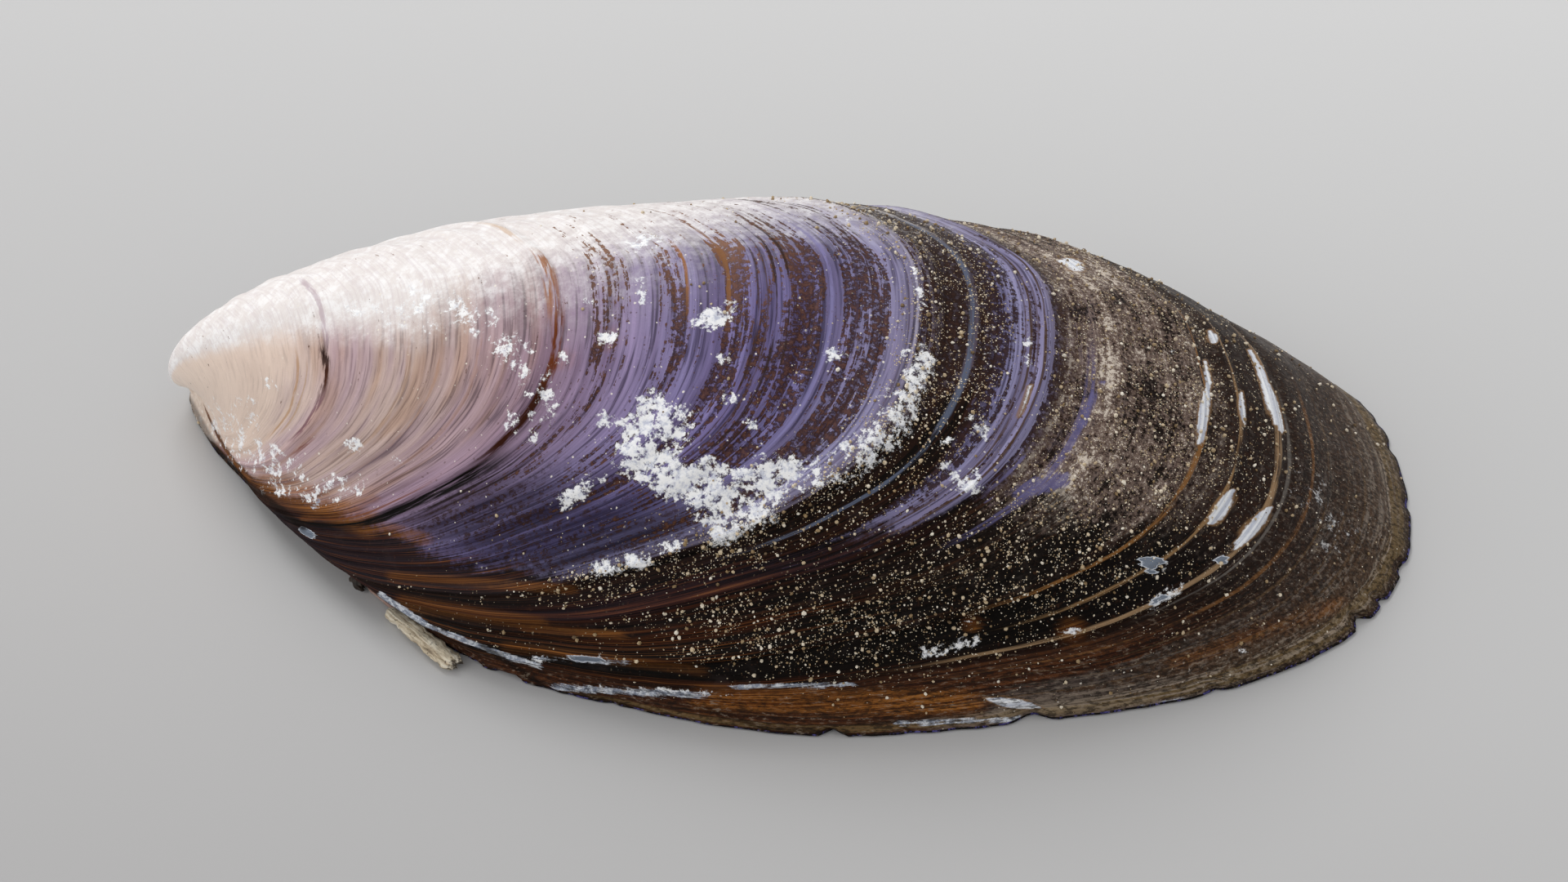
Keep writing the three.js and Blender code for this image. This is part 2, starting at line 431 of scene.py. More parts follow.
@dataclass(frozen=True)
class GrowthForm:
    """How the valve grew, with the same formulas and values as the CAD valve.

    The present edge is a closed curve in the rim plane. The ring of a share is that curve widened and
    twisted a little by its youth (1 - share), swung up about the tilted hinge axis, made smaller by the
    share, and raised by its youth towards the beak. Halfway up, its hinge side is tucked in a little, and
    the beak reaches forward.
    """

    outline: tuple[Pair, ...] = (
        (-0.2, 0.8), (1.3, -3.8), (8.0, -11.8), (17.5, -20.9), (23.3, -23.5), (35.9, -26.3),
        (47.2, -25.4), (58.6, -22.9), (66.4, -18.1), (69.6, -11.6), (68.7, -1.9), (65.2, 2.5),
        (58.5, 7.1), (42.4, 10.1), (28.1, 8.1), (14.0, 5.1), (3.0, 2.2),
    )
    hinge_bearing: float = radians(-74.2)
    hinge_tilt: float = radians(12.8)
    swing_rate: float = 1.209
    swing_power: float = 0.15
    swing_ease: float = 0.807
    young_twist: float = radians(-31.6)
    young_widening: float = 0.222
    beak_rise: float = 1.35
    hinge_tuck: float = 0.76
    tuck_place: float = 0.127
    tuck_spread: float = 0.086
    beak_reach: float = 0.39
    reach_share: float = 1.0 / 9.0
    ledge_run: float = 0.035
    ledge_fall: float = 0.004
    lean_reach: float = 0.13
    lean_end: float = 0.12
    edge_length: float = 171.5

    def edge(self, place: Array) -> Array:
        """Gives points of the present edge at places round it, in the rim plane."""
        flat = closed_curve(np.array(self.outline), place)
        return np.column_stack([flat, np.zeros(len(flat))])

    def away(self, place: Array) -> Array:
        """Gives unit vectors in the rim plane that point away from the shell."""
        step = 1e-4
        return unit(np.cross(self.edge(place + step) - self.edge(place - step), UP))

    def swing(self, share: Array) -> Array:
        """Gives the angle by which the ring of a share has swung up."""
        power = self.swing_power
        return self.swing_rate * (1.0 - share**power) / power - self.swing_ease * (1.0 - share) ** 2

    def tuck(self, share: Array, place: Array) -> Array:
        """Gives a point's part of the tuck: none at the beak and the edge, all halfway at its place."""
        off = place - self.tuck_place - np.round(place - self.tuck_place)
        return 4.0 * share * (1.0 - share) * np.exp(-((off / self.tuck_spread) ** 2))

    def reach(self, share: Array) -> Array:
        """Gives a ring's part of the beak's reach: none at the pole and the edge, all at its share."""
        top = self.reach_share
        return share / top * ((1.0 - share) / (1.0 - top)) ** (1.0 / top - 1.0)

    def rings(self, share: Array, place: Array, edge: Array) -> Array:
        """Gives the points of rings on the smooth outside.

        Args:
            share: shares of the rings, with shape (rings, 1).
            place: places of the points, with shape (points,).
            edge: points of the present edge, with shape (points, 3) or (rings, points, 3).

        Returns:
            An array of shape (rings, points, 3).
        """
        tuck = self.tuck(share, place)[..., None]
        share = share[..., None]
        youth = 1.0 - share
        bearing, tilt = self.hinge_bearing, self.hinge_tilt
        axis = np.array([np.cos(bearing) * np.cos(tilt), np.sin(bearing) * np.cos(tilt), np.sin(tilt)])
        wide = edge * (1.0 + self.young_widening * youth * ACROSS)
        twisted = turned(wide, UP, self.young_twist * youth)
        grown = turned(twisted, axis, self.swing(share)) * share + self.beak_rise * youth * UP
        return grown + self.hinge_tuck * tuck * ACROSS - self.beak_reach * self.reach(share) * AHEAD

    def age(self, share: Array, place: Array) -> Array:
        """Gives the share that a growth line through this point has at the middle of the rear end.

        Lean and bend are carried from one line to the next by straight lines between their shares. Away from
        the middle they stop growing, and in front of the beak they are gone, so the age has no seam there.
        """
        shares = [0.0, *(line.share for line in GROWTH_LINES), 1.0]
        lean = np.interp(share, shares, [0.0, *(line.lean for line in GROWTH_LINES), 0.0])
        bend = np.interp(share, shares, [0.0, *(line.bend for line in GROWTH_LINES), 0.0])
        off = self.lean_reach * np.tanh((place - 0.5) / self.lean_reach)
        off = off * smooth_step(0.0, self.lean_end, place) * smooth_step(
            1.0, 1.0 - self.lean_end, place
        )
        return share - lean * off - bend * np.maximum(off, 0.0) ** 2

    def ledge(self, age: Array) -> Array:
        """Gives the height of the ledges: each swells slowly towards its line and falls off behind it."""
        height = np.zeros_like(age)
        for line in GROWTH_LINES:
            past = age - line.share
            swell = np.exp(np.minimum(past, 0.0) / self.ledge_run)
            height += line.ledge * swell * smooth_step(self.ledge_fall, 0.0, past)
        return height

    def nick_depth(self, place: Array) -> Array:
        """Gives the depth of the edge's nicks, each a V with its half width."""
        depth = np.zeros_like(place)
        for nick in EDGE_NICKS:
            off = np.abs(place - nick.place) * self.edge_length / nick.half
            depth = np.maximum(depth, nick.depth * (1.0 - off))
        return depth


FORM = GrowthForm()


@dataclass(frozen=True)
class PhotoCamera:
    """The camera of the photograph: it looks along +Y and down, at a point of the rim plane."""

    elevation: float = radians(44.1)
    target: Triple = (0.001, 4.546, 0.0)
    focal_pixels: float = 4660.0
    distance: float = 219.7
    frame_width: float = 1920.0
    frame_height: float = 1080.0
    sensor_width: float = 36.0
    clip: Span = (0.01, 10.0)

    def axes(self) -> tuple[Array, Array, Array]:
        """Gives the camera's place, its direction and its upward side."""
        ahead = np.array([0.0, np.cos(self.elevation), -np.sin(self.elevation)])
        upward = np.array([0.0, np.sin(self.elevation), np.cos(self.elevation)])
        return np.array(self.target) - self.distance * ahead, ahead, upward

    def pixels(self, points: Array) -> Array:
        """Gives the photograph's pixel at which each point in the frame, in millimetres, is seen."""
        eye, ahead, upward = self.axes()
        off = points - eye
        depth = off @ ahead
        across = 0.5 * self.frame_width + self.focal_pixels * off[..., 0] / depth
        down = 0.5 * self.frame_height - self.focal_pixels * (off @ upward) / depth
        return np.stack([across, down], -1)

    def build(self) -> bpy.types.Object:
        """Makes the camera and gives it to the scene."""
        eye, ahead, _ = self.axes()
        data = bpy.data.cameras.new("photo_camera")
        data.sensor_width = self.sensor_width
        data.lens = self.sensor_width * self.focal_pixels / self.frame_width
        data.clip_start, data.clip_end = self.clip
        camera = add_object("photo_camera", data)
        camera.location = Vector(eye * MM)
        camera.rotation_euler = Vector(ahead).to_track_quat("-Z", "Y").to_euler()
        bpy.context.scene.camera = camera
        return camera


class MarkKind(Enum):
    """What a mark on the outside is, which names the mask that it goes into."""

    POWDER = "powder"
    # Worn ridges with painted highlight glints on them.
    CREST_GLINT = "crest_glint"
    CHIP = "chip"
    AMBER = "amber"
    CHALK = "chalk"
    VIOLET = "violet"
    # Dark strokes along the near edge: partly dark shell, partly painted shade where the edge lies in
    # shadow.
    DARK = "dark"


@dataclass(frozen=True)
class Mark:
    """A mark on the outside, where the photograph shows it: a soft stroke between two of its pixels."""

    kind: MarkKind
    x: float
    y: float
    end_x: float
    end_y: float
    width: float
    strength: float = 1.0
    fade: Span = (1.4, 0.5)
    taper_power: float = 0.6
    taper_end: float = 0.15

    def mask(self, pixels: Array) -> Array:
        """Gives the strength well inside the stroke and 0 well outside it, for points seen at these pixels.

        Marks on worn ridges, with painted highlight glints on them, narrow to points at both ends.
        """
        start = np.array([self.x, self.y])
        run = np.array([self.end_x, self.end_y]) - start
        along = np.clip((pixels - start) @ run / max(run @ run, 1.0), 0.0, 1.0)
        half = 0.5 * self.width * np.ones_like(along)
        if self.kind is MarkKind.CREST_GLINT:
            half *= np.sin(pi * along) ** self.taper_power + self.taper_end
        reach = np.linalg.norm(pixels - start - along[..., None] * run, axis=-1) / half
        return self.strength * smooth_step(*self.fade, reach)


def marks(kind: MarkKind, *rows: tuple[float, ...]) -> tuple[Mark, ...]:
    """Makes marks from rows of both ends, the width, and the strength where it isn't whole."""
    return tuple(Mark(kind, *row) for row in rows)


def spots(kind: MarkKind, *rows: tuple[float, ...]) -> tuple[Mark, ...]:
    """Makes round marks from rows of the middle, the width, and the strength where it isn't whole."""
    return tuple(Mark(kind, row[0], row[1], row[0], row[1], *row[2:]) for row in rows)


PHOTO_MARKS = (
    marks(
        MarkKind.POWDER,
        (775, 542, 800, 500, 44), (800, 560, 828, 520, 50), (800, 575, 862, 604, 52),
        (768, 572, 800, 575, 26, 0.8), (866, 584, 900, 600, 50), (880, 642, 930, 620, 50),
        (900, 604, 950, 574, 46), (935, 604, 985, 580, 34, 0.9), (985, 588, 1030, 568, 40, 0.62),
        (1030, 572, 1086, 530, 50, 0.66), (1074, 545, 1112, 488, 46, 0.72),
        (1112, 486, 1130, 440, 34, 0.75), (1100, 470, 1110, 470, 24, 0.5),
        (1084, 500, 1110, 512, 30, 0.6), (728, 698, 790, 684, 22, 0.95), (812, 673, 832, 668, 16),
        (690, 614, 722, 592, 22, 0.75), (700, 604, 745, 586, 16, 0.6), (658, 508, 672, 488, 30, 0.65),
        (640, 430, 654, 470, 46, 0.42), (625, 515, 650, 530, 28, 0.5), (780, 298, 802, 292, 22, 0.8),
        (866, 392, 888, 382, 28, 0.95), (300, 550, 352, 578, 44, 0.45), (262, 505, 296, 560, 36, 0.42),
        (330, 592, 404, 606, 30, 0.45), (392, 610, 432, 590, 26, 0.5), (298, 500, 312, 552, 36, 0.36),
        (560, 372, 584, 392, 40, 0.62), (500, 362, 524, 400, 28, 0.4), (430, 380, 446, 402, 20, 0.4),
        (604, 400, 622, 440, 34, 0.4), (410, 592, 442, 594, 24, 0.6), (470, 385, 540, 372, 36, 0.45),
        (1120, 330, 1130, 372, 15, 0.7), (1195, 505, 1205, 540, 20, 0.5),
        (1408, 688, 1420, 692, 16, 0.5), (1412, 738, 1440, 722, 16, 0.8),
        (1130, 800, 1196, 785, 16, 0.7), (730, 842, 900, 850, 8, 0.5), (640, 808, 735, 806, 8, 0.6),
        (1600, 600, 1640, 660, 60, 0.16),
    )
    + spots(
        MarkKind.POWDER,
        (745, 515, 26, 0.75), (715, 372, 14), (787, 365, 20), (742, 415, 20, 0.8), (690, 440, 18, 0.7),
        (885, 440, 17, 0.7), (1020, 434, 22), (922, 520, 20), (1105, 435, 18), (1187, 587, 34),
        (1162, 574, 18, 0.8), (1257, 417, 15), (1257, 440, 16), (1158, 540, 12, 0.8),
        (1212, 430, 10, 0.6), (1040, 268, 9, 0.8), (432, 546, 20), (850, 612, 22, 0.7),
        (486, 560, 14, 0.4), (330, 472, 26, 0.3), (1312, 773, 14), (1190, 762, 9, 0.7),
        (890, 486, 20, 0.7), (780, 345, 14, 0.6), (1427, 432, 9, 0.7), (1523, 797, 8, 0.7),
    )
    # Worn ridges with painted highlight glints on them, white at the core.
    + marks(
        MarkKind.CREST_GLINT,
        (1479, 470, 1469, 546, 11), (1476, 440, 1481, 476, 8, 0.8), (1480, 406, 1490, 420, 11),
        (1519, 480, 1524, 520, 8, 0.8), (1530, 428, 1558, 484, 8), (1546, 458, 1570, 530, 12),
        (1480, 644, 1512, 598, 14), (1512, 672, 1557, 620, 14), (1300, 318, 1326, 330, 13),
        (1212, 858, 1272, 865, 11), (1246, 512, 1262, 470, 5, 0.6),
    )
    + marks(
        MarkKind.CHIP,
        (1401, 686, 1422, 688, 9), (1406, 692, 1413, 702, 8), (1494, 686, 1498, 686, 10),
        (1410, 739, 1428, 730, 8, 0.6), (371, 649, 381, 655, 8), (700, 806, 736, 808, 7, 0.7),
    )
    + marks(
        MarkKind.AMBER,
        (860, 856, 1190, 862, 30), (330, 590, 450, 640, 34, 0.7), (264, 548, 300, 588, 14, 0.9),
        (450, 640, 520, 660, 16, 0.5), (640, 768, 760, 778, 10, 0.5), (1440, 812, 1640, 740, 18, 0.45),
        (480, 706, 700, 722, 12, 0.45), (492, 738, 660, 764, 18, 0.5), (620, 792, 860, 822, 12, 0.35),
        (372, 636, 460, 610, 10, 0.5),
    )
    + spots(
        MarkKind.AMBER,
        (1313, 773, 32, 0.8), (1190, 764, 20, 0.9), (742, 415, 30, 0.35), (690, 440, 26, 0.3),
    )
    + marks(
        MarkKind.CHALK,
        (466, 728, 520, 764, 8), (520, 764, 600, 796, 7, 0.9), (600, 796, 660, 816, 8, 0.8),
        (655, 806, 770, 812, 7, 0.6), (680, 842, 860, 852, 9, 0.9), (895, 842, 1040, 838, 7, 0.8),
        (1100, 886, 1260, 880, 8, 0.7), (1400, 866, 1470, 852, 6, 0.6), (384, 622, 398, 604, 6, 0.7),
    )
    + marks(
        MarkKind.VIOLET,
        (1246, 602, 1302, 586, 24, 0.65), (1330, 520, 1348, 468, 11, 0.85),
        (1310, 550, 1326, 530, 10, 0.6), (1150, 660, 1230, 640, 16, 0.35),
        (960, 700, 1040, 690, 20, 0.3), (1205, 610, 1250, 560, 16, 0.5),
    )
    # Dark strokes along the near edge: partly dark shell, partly painted shade where the edge lies in
    # shadow.
    + marks(
        MarkKind.DARK,
        (228, 486, 262, 548, 10, 0.6), (262, 548, 302, 592, 9), (302, 592, 372, 646, 9, 0.8),
        (590, 790, 660, 836, 7, 0.8), (690, 850, 766, 864, 8, 0.8), (860, 866, 930, 890, 7, 0.6),
        (930, 892, 1040, 898, 6, 0.7),
    )
)


@dataclass
class Surface:
    """A closed surface ready for Blender: rows of points between two poles, with their own masks and map.

    The rows run so that along the rows crossed with around the row points outwards. All arrays of the masks
    and of age have the shape of the grid of rows.
    """

    first_pole: Array
    rows: Array
    last_pole: Array
    place: Array
    age: Array
    masks: dict[str, Array] = field(default_factory=dict)
    inside_from: Optional[int] = None

    def faces(self) -> tuple[Array, Array]:
        """Gives the four-sided faces between the rows and the triangles of both poles, by vertex number."""
        depth, count = self.rows.shape[:2]
        number = 1 + np.arange(depth * count).reshape(depth, count)
        after = np.roll(number, -1, axis=1)
        quads = np.stack([number[:-1], number[1:], after[1:], after[:-1]], -1).reshape(-1, 4)
        first = np.column_stack([np.zeros(count, int), number[0], after[0]])
        last = np.column_stack([number[-1], np.full(count, 1 + depth * count), after[-1]])
        return quads, np.concatenate([first, last])

    def map_corners(self) -> Array:
        """Gives each corner's place round the outline and its age, in the order of the faces."""
        depth = len(self.rows)
        low = np.broadcast_to(self.place, self.age.shape)
        high = np.concatenate([low[:, 1:], low[:, :1] + 1.0], axis=1)
        next_age = np.roll(self.age, -1, axis=1)
        corners = [
            np.stack([u, v], -1)
            for u, v in (
                (low[:-1], self.age[:-1]), (low[1:], self.age[1:]), (high[1:], next_age[1:]),
                (high[:-1], next_age[:-1]),
            )
        ]
        quads = np.stack(corners, 2).reshape(-1, 2)
        middle = 0.5 * (low[0] + high[0])
        first = np.stack([middle, self.age[0], low[0], self.age[0], high[0], next_age[0]], -1)
        tail = depth - 1
        last = np.stack(
            [low[tail], self.age[tail], middle, self.age[tail], high[tail], next_age[tail]], -1
        )
        return np.concatenate([quads, first.reshape(-1, 2), last.reshape(-1, 2)])

    def build(self, name: str, materials: Sequence[bpy.types.Material]) -> bpy.types.Object:
        """Puts the surface into a mesh object at the origin of the frame.

        Args:
            name: name of the piece.
            materials: the outside's material, and the inside's if there is one.

        Returns:
            The object, with its map, its masks and its materials.
        """
        quads, triangles = self.faces()
        points = np.vstack([self.first_pole, self.rows.reshape(-1, 3), self.last_pole]) + BEAK_IN_FRAME
        mesh = bpy.data.meshes.new(name)
        mesh.from_pydata((points * MM).tolist(), [], quads.tolist() + triangles.tolist())
        mesh.shade_smooth()
        growth_map = mesh.uv_layers.new(name="growth")
        growth_map.uv.foreach_set("vector", self.map_corners().astype(np.float32).ravel())
        for key, grid in self.masks.items():
            values = np.concatenate([[grid[0].mean()], grid.ravel(), [grid[-1].mean()]])
            mesh.attributes.new(key, "FLOAT", "POINT").data.foreach_set(
                "value", values.astype(np.float32)
            )
        for material in materials:
            mesh.materials.append(material)
        if self.inside_from is not None:
            count = self.rows.shape[1]
            inner = np.zeros(len(mesh.polygons), np.int32)
            inner[self.inside_from * count : len(quads)] = 1
            inner[len(quads) + count :] = 1
            mesh.polygons.foreach_set("material_index", inner)
        return add_object(name, mesh)


@dataclass(frozen=True)
class RingNoise:
    """Noise stretched along the rings, without a seam.

    The place becomes an angle, and the point read is (cos, sin, age) with its own scale each way. Around is
    how many features there are round the outline, and along how many there are from beak to edge.
    """

    around: float
    along: float
    detail: float = 4.0
    rough: float = 0.6

    def build(self, p: Painter, place: Socket, age: Socket) -> Socket:
        """Gives the noise, from 0 to 1."""
        angle = p.times(place, 2.0 * pi)
        radius = self.around / (2.0 * pi)
        inputs = {
            0: p.times(p.maths("COSINE", angle), radius),
            1: p.times(p.maths("SINE", angle), radius),
            2: p.times(age, self.along),
        }
        return p.noise(p.add("CombineXYZ", inputs).outputs[0], 1.0, self.detail, self.rough)


@dataclass(frozen=True)
class InkStroke:
    """A coloured growth line: its age, half width, first and last place, colour and strength."""

    age: float
    half: float
    first: float
    last: float
    code: str
    strength: float = 1.0


INK_STROKES = tuple(
    InkStroke(*row)
    for row in (
        (0.205, 0.0022, 0.35, 0.52, "b08350", 0.6), (0.2135, 0.0018, 0.36, 0.50, "b08c60", 0.5),
        (0.233, 0.0045, 0.36, 0.455, "6d4454", 0.75), (0.2320, 0.0050, 0.45, 0.51, "45200f", 1.0),
        (0.2315, 0.0065, 0.495, 0.535, "2a120c", 1.0), (0.2330, 0.0035, 0.53, 0.68, "a58998", 0.5),
        (0.2500, 0.0050, 0.33, 0.37, "74361e", 0.7), (0.3020, 0.0030, 0.36, 0.54, "b08a68", 0.35),
        (0.3270, 0.0025, 0.36, 0.54, "a87f62", 0.4), (0.3560, 0.0030, 0.36, 0.54, "a07a66", 0.4),
        (0.4200, 0.0125, 0.23, 0.405, "080403", 1.0), (0.4370, 0.0030, 0.30, 0.42, "1c0f0a", 0.9),
        (0.4010, 0.0030, 0.24, 0.36, "6a3a1c", 0.8), (0.4460, 0.0020, 0.32, 0.42, "24140f", 0.8),
        (0.4110, 0.0040, 0.40, 0.505, "3a1a0e", 1.0), (0.4115, 0.0048, 0.49, 0.56, "6a3418", 1.0),
        (0.4080, 0.0060, 0.55, 0.625, "9a6238", 0.9), (0.4050, 0.0030, 0.66, 0.71, "c39866", 0.5),
        (0.4990, 0.0016, 0.56, 0.62, "9c6a40", 0.8), (0.5250, 0.0030, 0.55, 0.66, "865c3a", 0.85),
        (0.5440, 0.0012, 0.42, 0.64, "3a2824", 0.8), (0.5500, 0.0010, 0.42, 0.64, "4a3634", 0.7),
        (0.5560, 0.0013, 0.42, 0.66, "32221e", 0.85), (0.5640, 0.0012, 0.42, 0.66, "32221e", 0.85),
        (0.5900, 0.0020, 0.42, 0.66, "857fae", 0.6), (0.6070, 0.0010, 0.42, 0.66, "453848", 0.7),
        (0.6160, 0.0012, 0.42, 0.66, "3c2a2c", 0.75), (0.6330, 0.0008, 0.42, 0.66, "5a5474", 0.6),
        (0.6395, 0.0009, 0.42, 0.66, "5a4c60", 0.6), (0.6445, 0.0012, 0.52, 0.67, "b3adc2", 0.5),
        (0.6800, 0.0028, 0.38, 0.68, "5c6478", 0.85), (0.7150, 0.0008, 0.42, 0.70, "5a4c58", 0.7),
        (0.7185, 0.0013, 0.42, 0.70, "4a3628", 0.9), (0.7230, 0.0008, 0.42, 0.70, "5a4c58", 0.7),
        (0.7275, 0.0013, 0.42, 0.70, "4a3628", 0.9), (0.7620, 0.0045, 0.43, 0.55, "6a658f", 0.7),
        (0.8400, 0.0030, 0.40, 0.62, "96683a", 0.85), (0.8655, 0.0027, 0.40, 0.60, "9c7a54", 0.85),
        (0.8945, 0.0031, 0.36, 0.60, "a08262", 0.85), (0.9040, 0.0014, 0.43, 0.56, "7c7670", 0.6),
        (0.9200, 0.0020, 0.36, 0.57, "7c5430", 0.7), (0.9340, 0.0012, 0.36, 0.57, "6a5238", 0.5),
        (0.9480, 0.0012, 0.36, 0.57, "6a5238", 0.4), (0.9610, 0.0012, 0.30, 0.57, "6a5238", 0.4),
        (0.9900, 0.0090, 0.24, 0.64, "86704a", 0.45),
    )
)


@dataclass(frozen=True)
class Speckle:
    """Specks by cells: cells for each millimetre, share of them left empty, and largest radius in cells."""

    scale: float
    rarity: Feed
    reach: float


@dataclass
class ShellFields:
    """What all layers of the outside read: place, age, object coordinates in millimetres, shared noises."""

    place: Socket
    age: Socket
    here: Socket
    lines: Socket
    bands: Socket
    streak: Socket
    grain: Socket
    blot: Socket
    fluff: Socket
    wobble: Socket


@dataclass(frozen=True)
class OuterFinish:
    """The outside: a prismatic layer from ivory to violet, with dark skin left on it, powder and grit.

    The noises that the layers share come first, then colours and levels by age, and then the values of each
    layer in the order of the layers. Ages and places are spans on the growth map.
    """

    lines: RingNoise = RingNoise(14.0, 400.0, 3.0, 0.55)
    bands: RingNoise = RingNoise(5.0, 70.0, 4.0, 0.62)
    broad: RingNoise = RingNoise(10.0, 24.0, 3.0)
    streaks: RingNoise = RingNoise(24.0, 300.0, 4.0, 0.62)
    stripes: RingNoise = RingNoise(4.0, 46.0, 2.0)
    grain: Triple = (3.2, 4.0, 0.68)
    blot: Triple = (0.5, 4.0, 0.6)
    fluff: Triple = (1.25, 6.0, 0.72)
    wobble: float = 0.010
    prism_wobble: float = 1.5
    prism: Stops = (
        (0.0, "f2e4d8"), (0.07, "eddacb"), (0.13, "e8d3c4"), (0.19, "e2ccbd"), (0.22, "d6beb4"),
        (0.24, "c4a8ac"), (0.27, "c2a9a2"), (0.31, "c4ada4"), (0.36, "b2989a"), (0.40, "9e8594"),
        (0.44, "8e7c9a"), (0.50, "8379a2"), (0.54, "776e9c"), (0.58, "736c98"), (0.63, "9c98bc"),
        (0.655, "544a50"), (0.69, "524a56"), (0.70, "6c688c"), (0.712, "9490b4"), (0.730, "9490b4"),
        (0.742, "62555a"), (0.80, "6e625c"), (0.86, "463c36"), (0.93, "5a5048"), (0.955, "665b52"),
        (0.975, "86786a"), (0.99, "988a78"), (1.0, "6a5c50"),
    )
    skin: Stops = (
        (0.0, "8a5f3c"), (0.14, "845530"), (0.24, "764a28"), (0.34, "56301a"), (0.40, "200e08"),
        (0.425, "080403"), (0.45, "1c0e09"), (0.52, "24140e"), (0.62, "1c0f0a"), (0.655, "1c0e08"),
        (0.69, "1e0f08"), (0.72, "240f08"), (0.77, "120906"), (0.83, "080403"), (0.90, "0d0705"),
        (0.935, "33261e"), (0.98, "523f2e"), (1.0, "221710"),
    )
    early_streaks: Levels = (
        (0.38, 0.05), (0.432, 0.12), (0.438, 0.52), (0.460, 0.48), (0.465, 0.12), (0.479, 0.15),
        (0.483, 0.55), (0.498, 0.55), (0.503, 0.18), (0.519, 0.2), (0.523, 0.8), (0.537, 0.8),
        (0.542, 0.4), (0.560, 0.5), (0.566, 0.8), (0.585, 0.8), (0.588, 0.1), (0.594, 0.15),
        (0.600, 0.72),
    )
    late_streaks: Levels = (
        (0.600, 0.72), (0.625, 0.75), (0.630, 0.06), (0.643, 0.06), (0.648, 0.6), (0.662, 0.75),
        (0.666, 1.0), (0.677, 1.0), (0.679, 0.2), (0.683, 0.3), (0.686, 0.95), (0.697, 0.95),
        (0.703, 0.75), (0.709, 0.6), (0.713, 0.34), (0.732, 0.3), (0.738, 0.85), (0.757, 0.8),
        (0.760, 0.5), (0.767, 0.5), (0.772, 0.85), (0.83, 0.85), (0.845, 1.0), (0.90, 1.0),
        (0.93, 0.75), (1.0, 0.75),
    )
    stripe_ages: tuple[Span, Span] = ((0.17, 0.22), (0.42, 0.38))
    ochre_stripes: Coat = Coat(0.5, 0.64, 0.34, "b58a5e")
    mauve_stripes: Coat = Coat(0.5, 0.36, 0.28, "9c84a2")
    grown: FullStep = (0.10, 0.46, 0.10, 0.85)
    dark_bands: Coat = Coat(0.38, 0.64, 0.6, "8a7480", "MULTIPLY")
    light_lines: Coat = Coat(0.5, 0.72, 0.55, "f0eaf2", "SOFT_LIGHT")
    dark_lines: Coat = Coat(0.5, 0.34, 0.8, "5a4c5c", "MULTIPLY")
    bloom: Coat = Coat(0.55, 0.8, 0.35, "efe6e6", "SOFT_LIGHT")
    deep_bands: FullStep = (0.3, 0.6, 0.75, 1.0)
    deep_shade: Tint = (0.85, "5c5a68")
    deep_specks: Span = (0.46, 0.58)
    deep_brown: Coat = Coat(0.38, 0.54, 0.85, "2e1a12")
    worn_tip: TwoTone = TwoTone(0.4, 0.6, "d9c6b6", "eadccf")
    tip_strength: float = 0.95
    # Whitened upper side: partly bleached shell, partly painted light where the light falls on it.
    wash_gain: float = 1.15
    wash_cloud: float = 0.9
    wash_clouded: Span = (0.02, 0.3)
    bleached_and_lit_tones: TwoTone = TwoTone(0.42, 0.62, "e6dfdc", "f4f1f0")
    wash_lines: Coat = Coat(0.52, 0.4, 0.3, "cfc2c4")
    salt: Speckle = Speckle(3.4, 0.80, 0.17)
    salt_coat: Coat = Coat(0.1, 0.3, 0.8, "eee6da")
    pepper: Speckle = Speckle(3.8, 0.72, 0.26)
    pepper_ages: Span = (0.24, 0.5)
    pepper_coat: Coat = Coat(0.40, 0.55, 0.75, "4a3026")
    speck_unevenness: float = 0.9
    speck_sizes: Pair = (0.4, 0.6)
    speck_edge: float = 0.03
    speck_chance: float = 0.04
    streak_mix: Triple = (0.8, 0.2, 0.45)
    streak_limits: Pair = (0.70, -0.36)
    streak_edge: Span = (-0.012, 0.03)
    streak_breaks: FullStep = (0.38, 0.5, 0.3, 1.0)
    streak_tone: TwoTone = TwoTone(0.46, 0.66, "2a1610", "5a3a2a")
    streak_strength: float = 0.92
    upper_streaks: Coat = Coat(0.53, 0.63, 1.0, "845a3e")
    upper_grain: FullStep = (0.35, 0.6, 0.4, 0.9)
    upper_ages: Span = (0.60, 0.53)
    late_ages: Span = (0.63, 0.66)
    late_strength: float = 0.75
    crust_noise: Triple = (3.6, 5.0, 0.85)
    crust_mix: tuple[float, float, float, float] = (1.3, 0.6, 0.75, 0.25)
    crust_coats: tuple[Coat, ...] = (
        Coat(-0.16, 0.04, 0.75, "7c695f"),
        Coat(0.06, 0.18, 0.9, "d6cabc"),
        Coat(-0.08, -0.18, 0.9, "120b08"),
    )
    near_hinge: FullStep = (0.40, 0.30, 0.18, 1.0)
    hinge_brown: Coat = Coat(0.48, 0.66, 0.8, "4a230d")
    gold_bands: Span = (0.42, 0.6)
    gold_lines: Coat = Coat(0.57, 0.70, 0.7, "8a5628")
    black_lines: Coat = Coat(0.55, 0.42, 0.88, "030201")
    grey_blots: Coat = Coat(0.58, 0.74, 0.14, "4e4240")
    brown_grain: Coat = Coat(0.58, 0.72, 0.32, "54341f")
    low_rim_places: Span = (0.48, 0.38)
    low_rim_ages: Span = (0.88, 0.93)
    low_rim_bands: FullStep = (0.3, 0.5, 0.5, 1.0)
    low_rim: TwoTone = TwoTone(0.48, 0.64, "34180b", "60361a")
    low_rim_strength: float = 0.85
    skin_mix: Triple = (0.8, 0.9, 0.5)
    skin_edge: Span = (0.26, 0.72)
    skin_strength: float = 0.97
    amber_bands: FullStep = (0.5, 0.72, 0.45, 1.0)
    amber_grain: float = 0.3
    honey: TwoTone = TwoTone(0.4, 0.62, "5c3214", "99622c")
    ink_sway: float = 0.3
    ink_widths: FullStep = (0.35, 0.65, 0.45, 1.3)
    ink_breaks: FullStep = (0.36, 0.50, 0.08, 1.0)
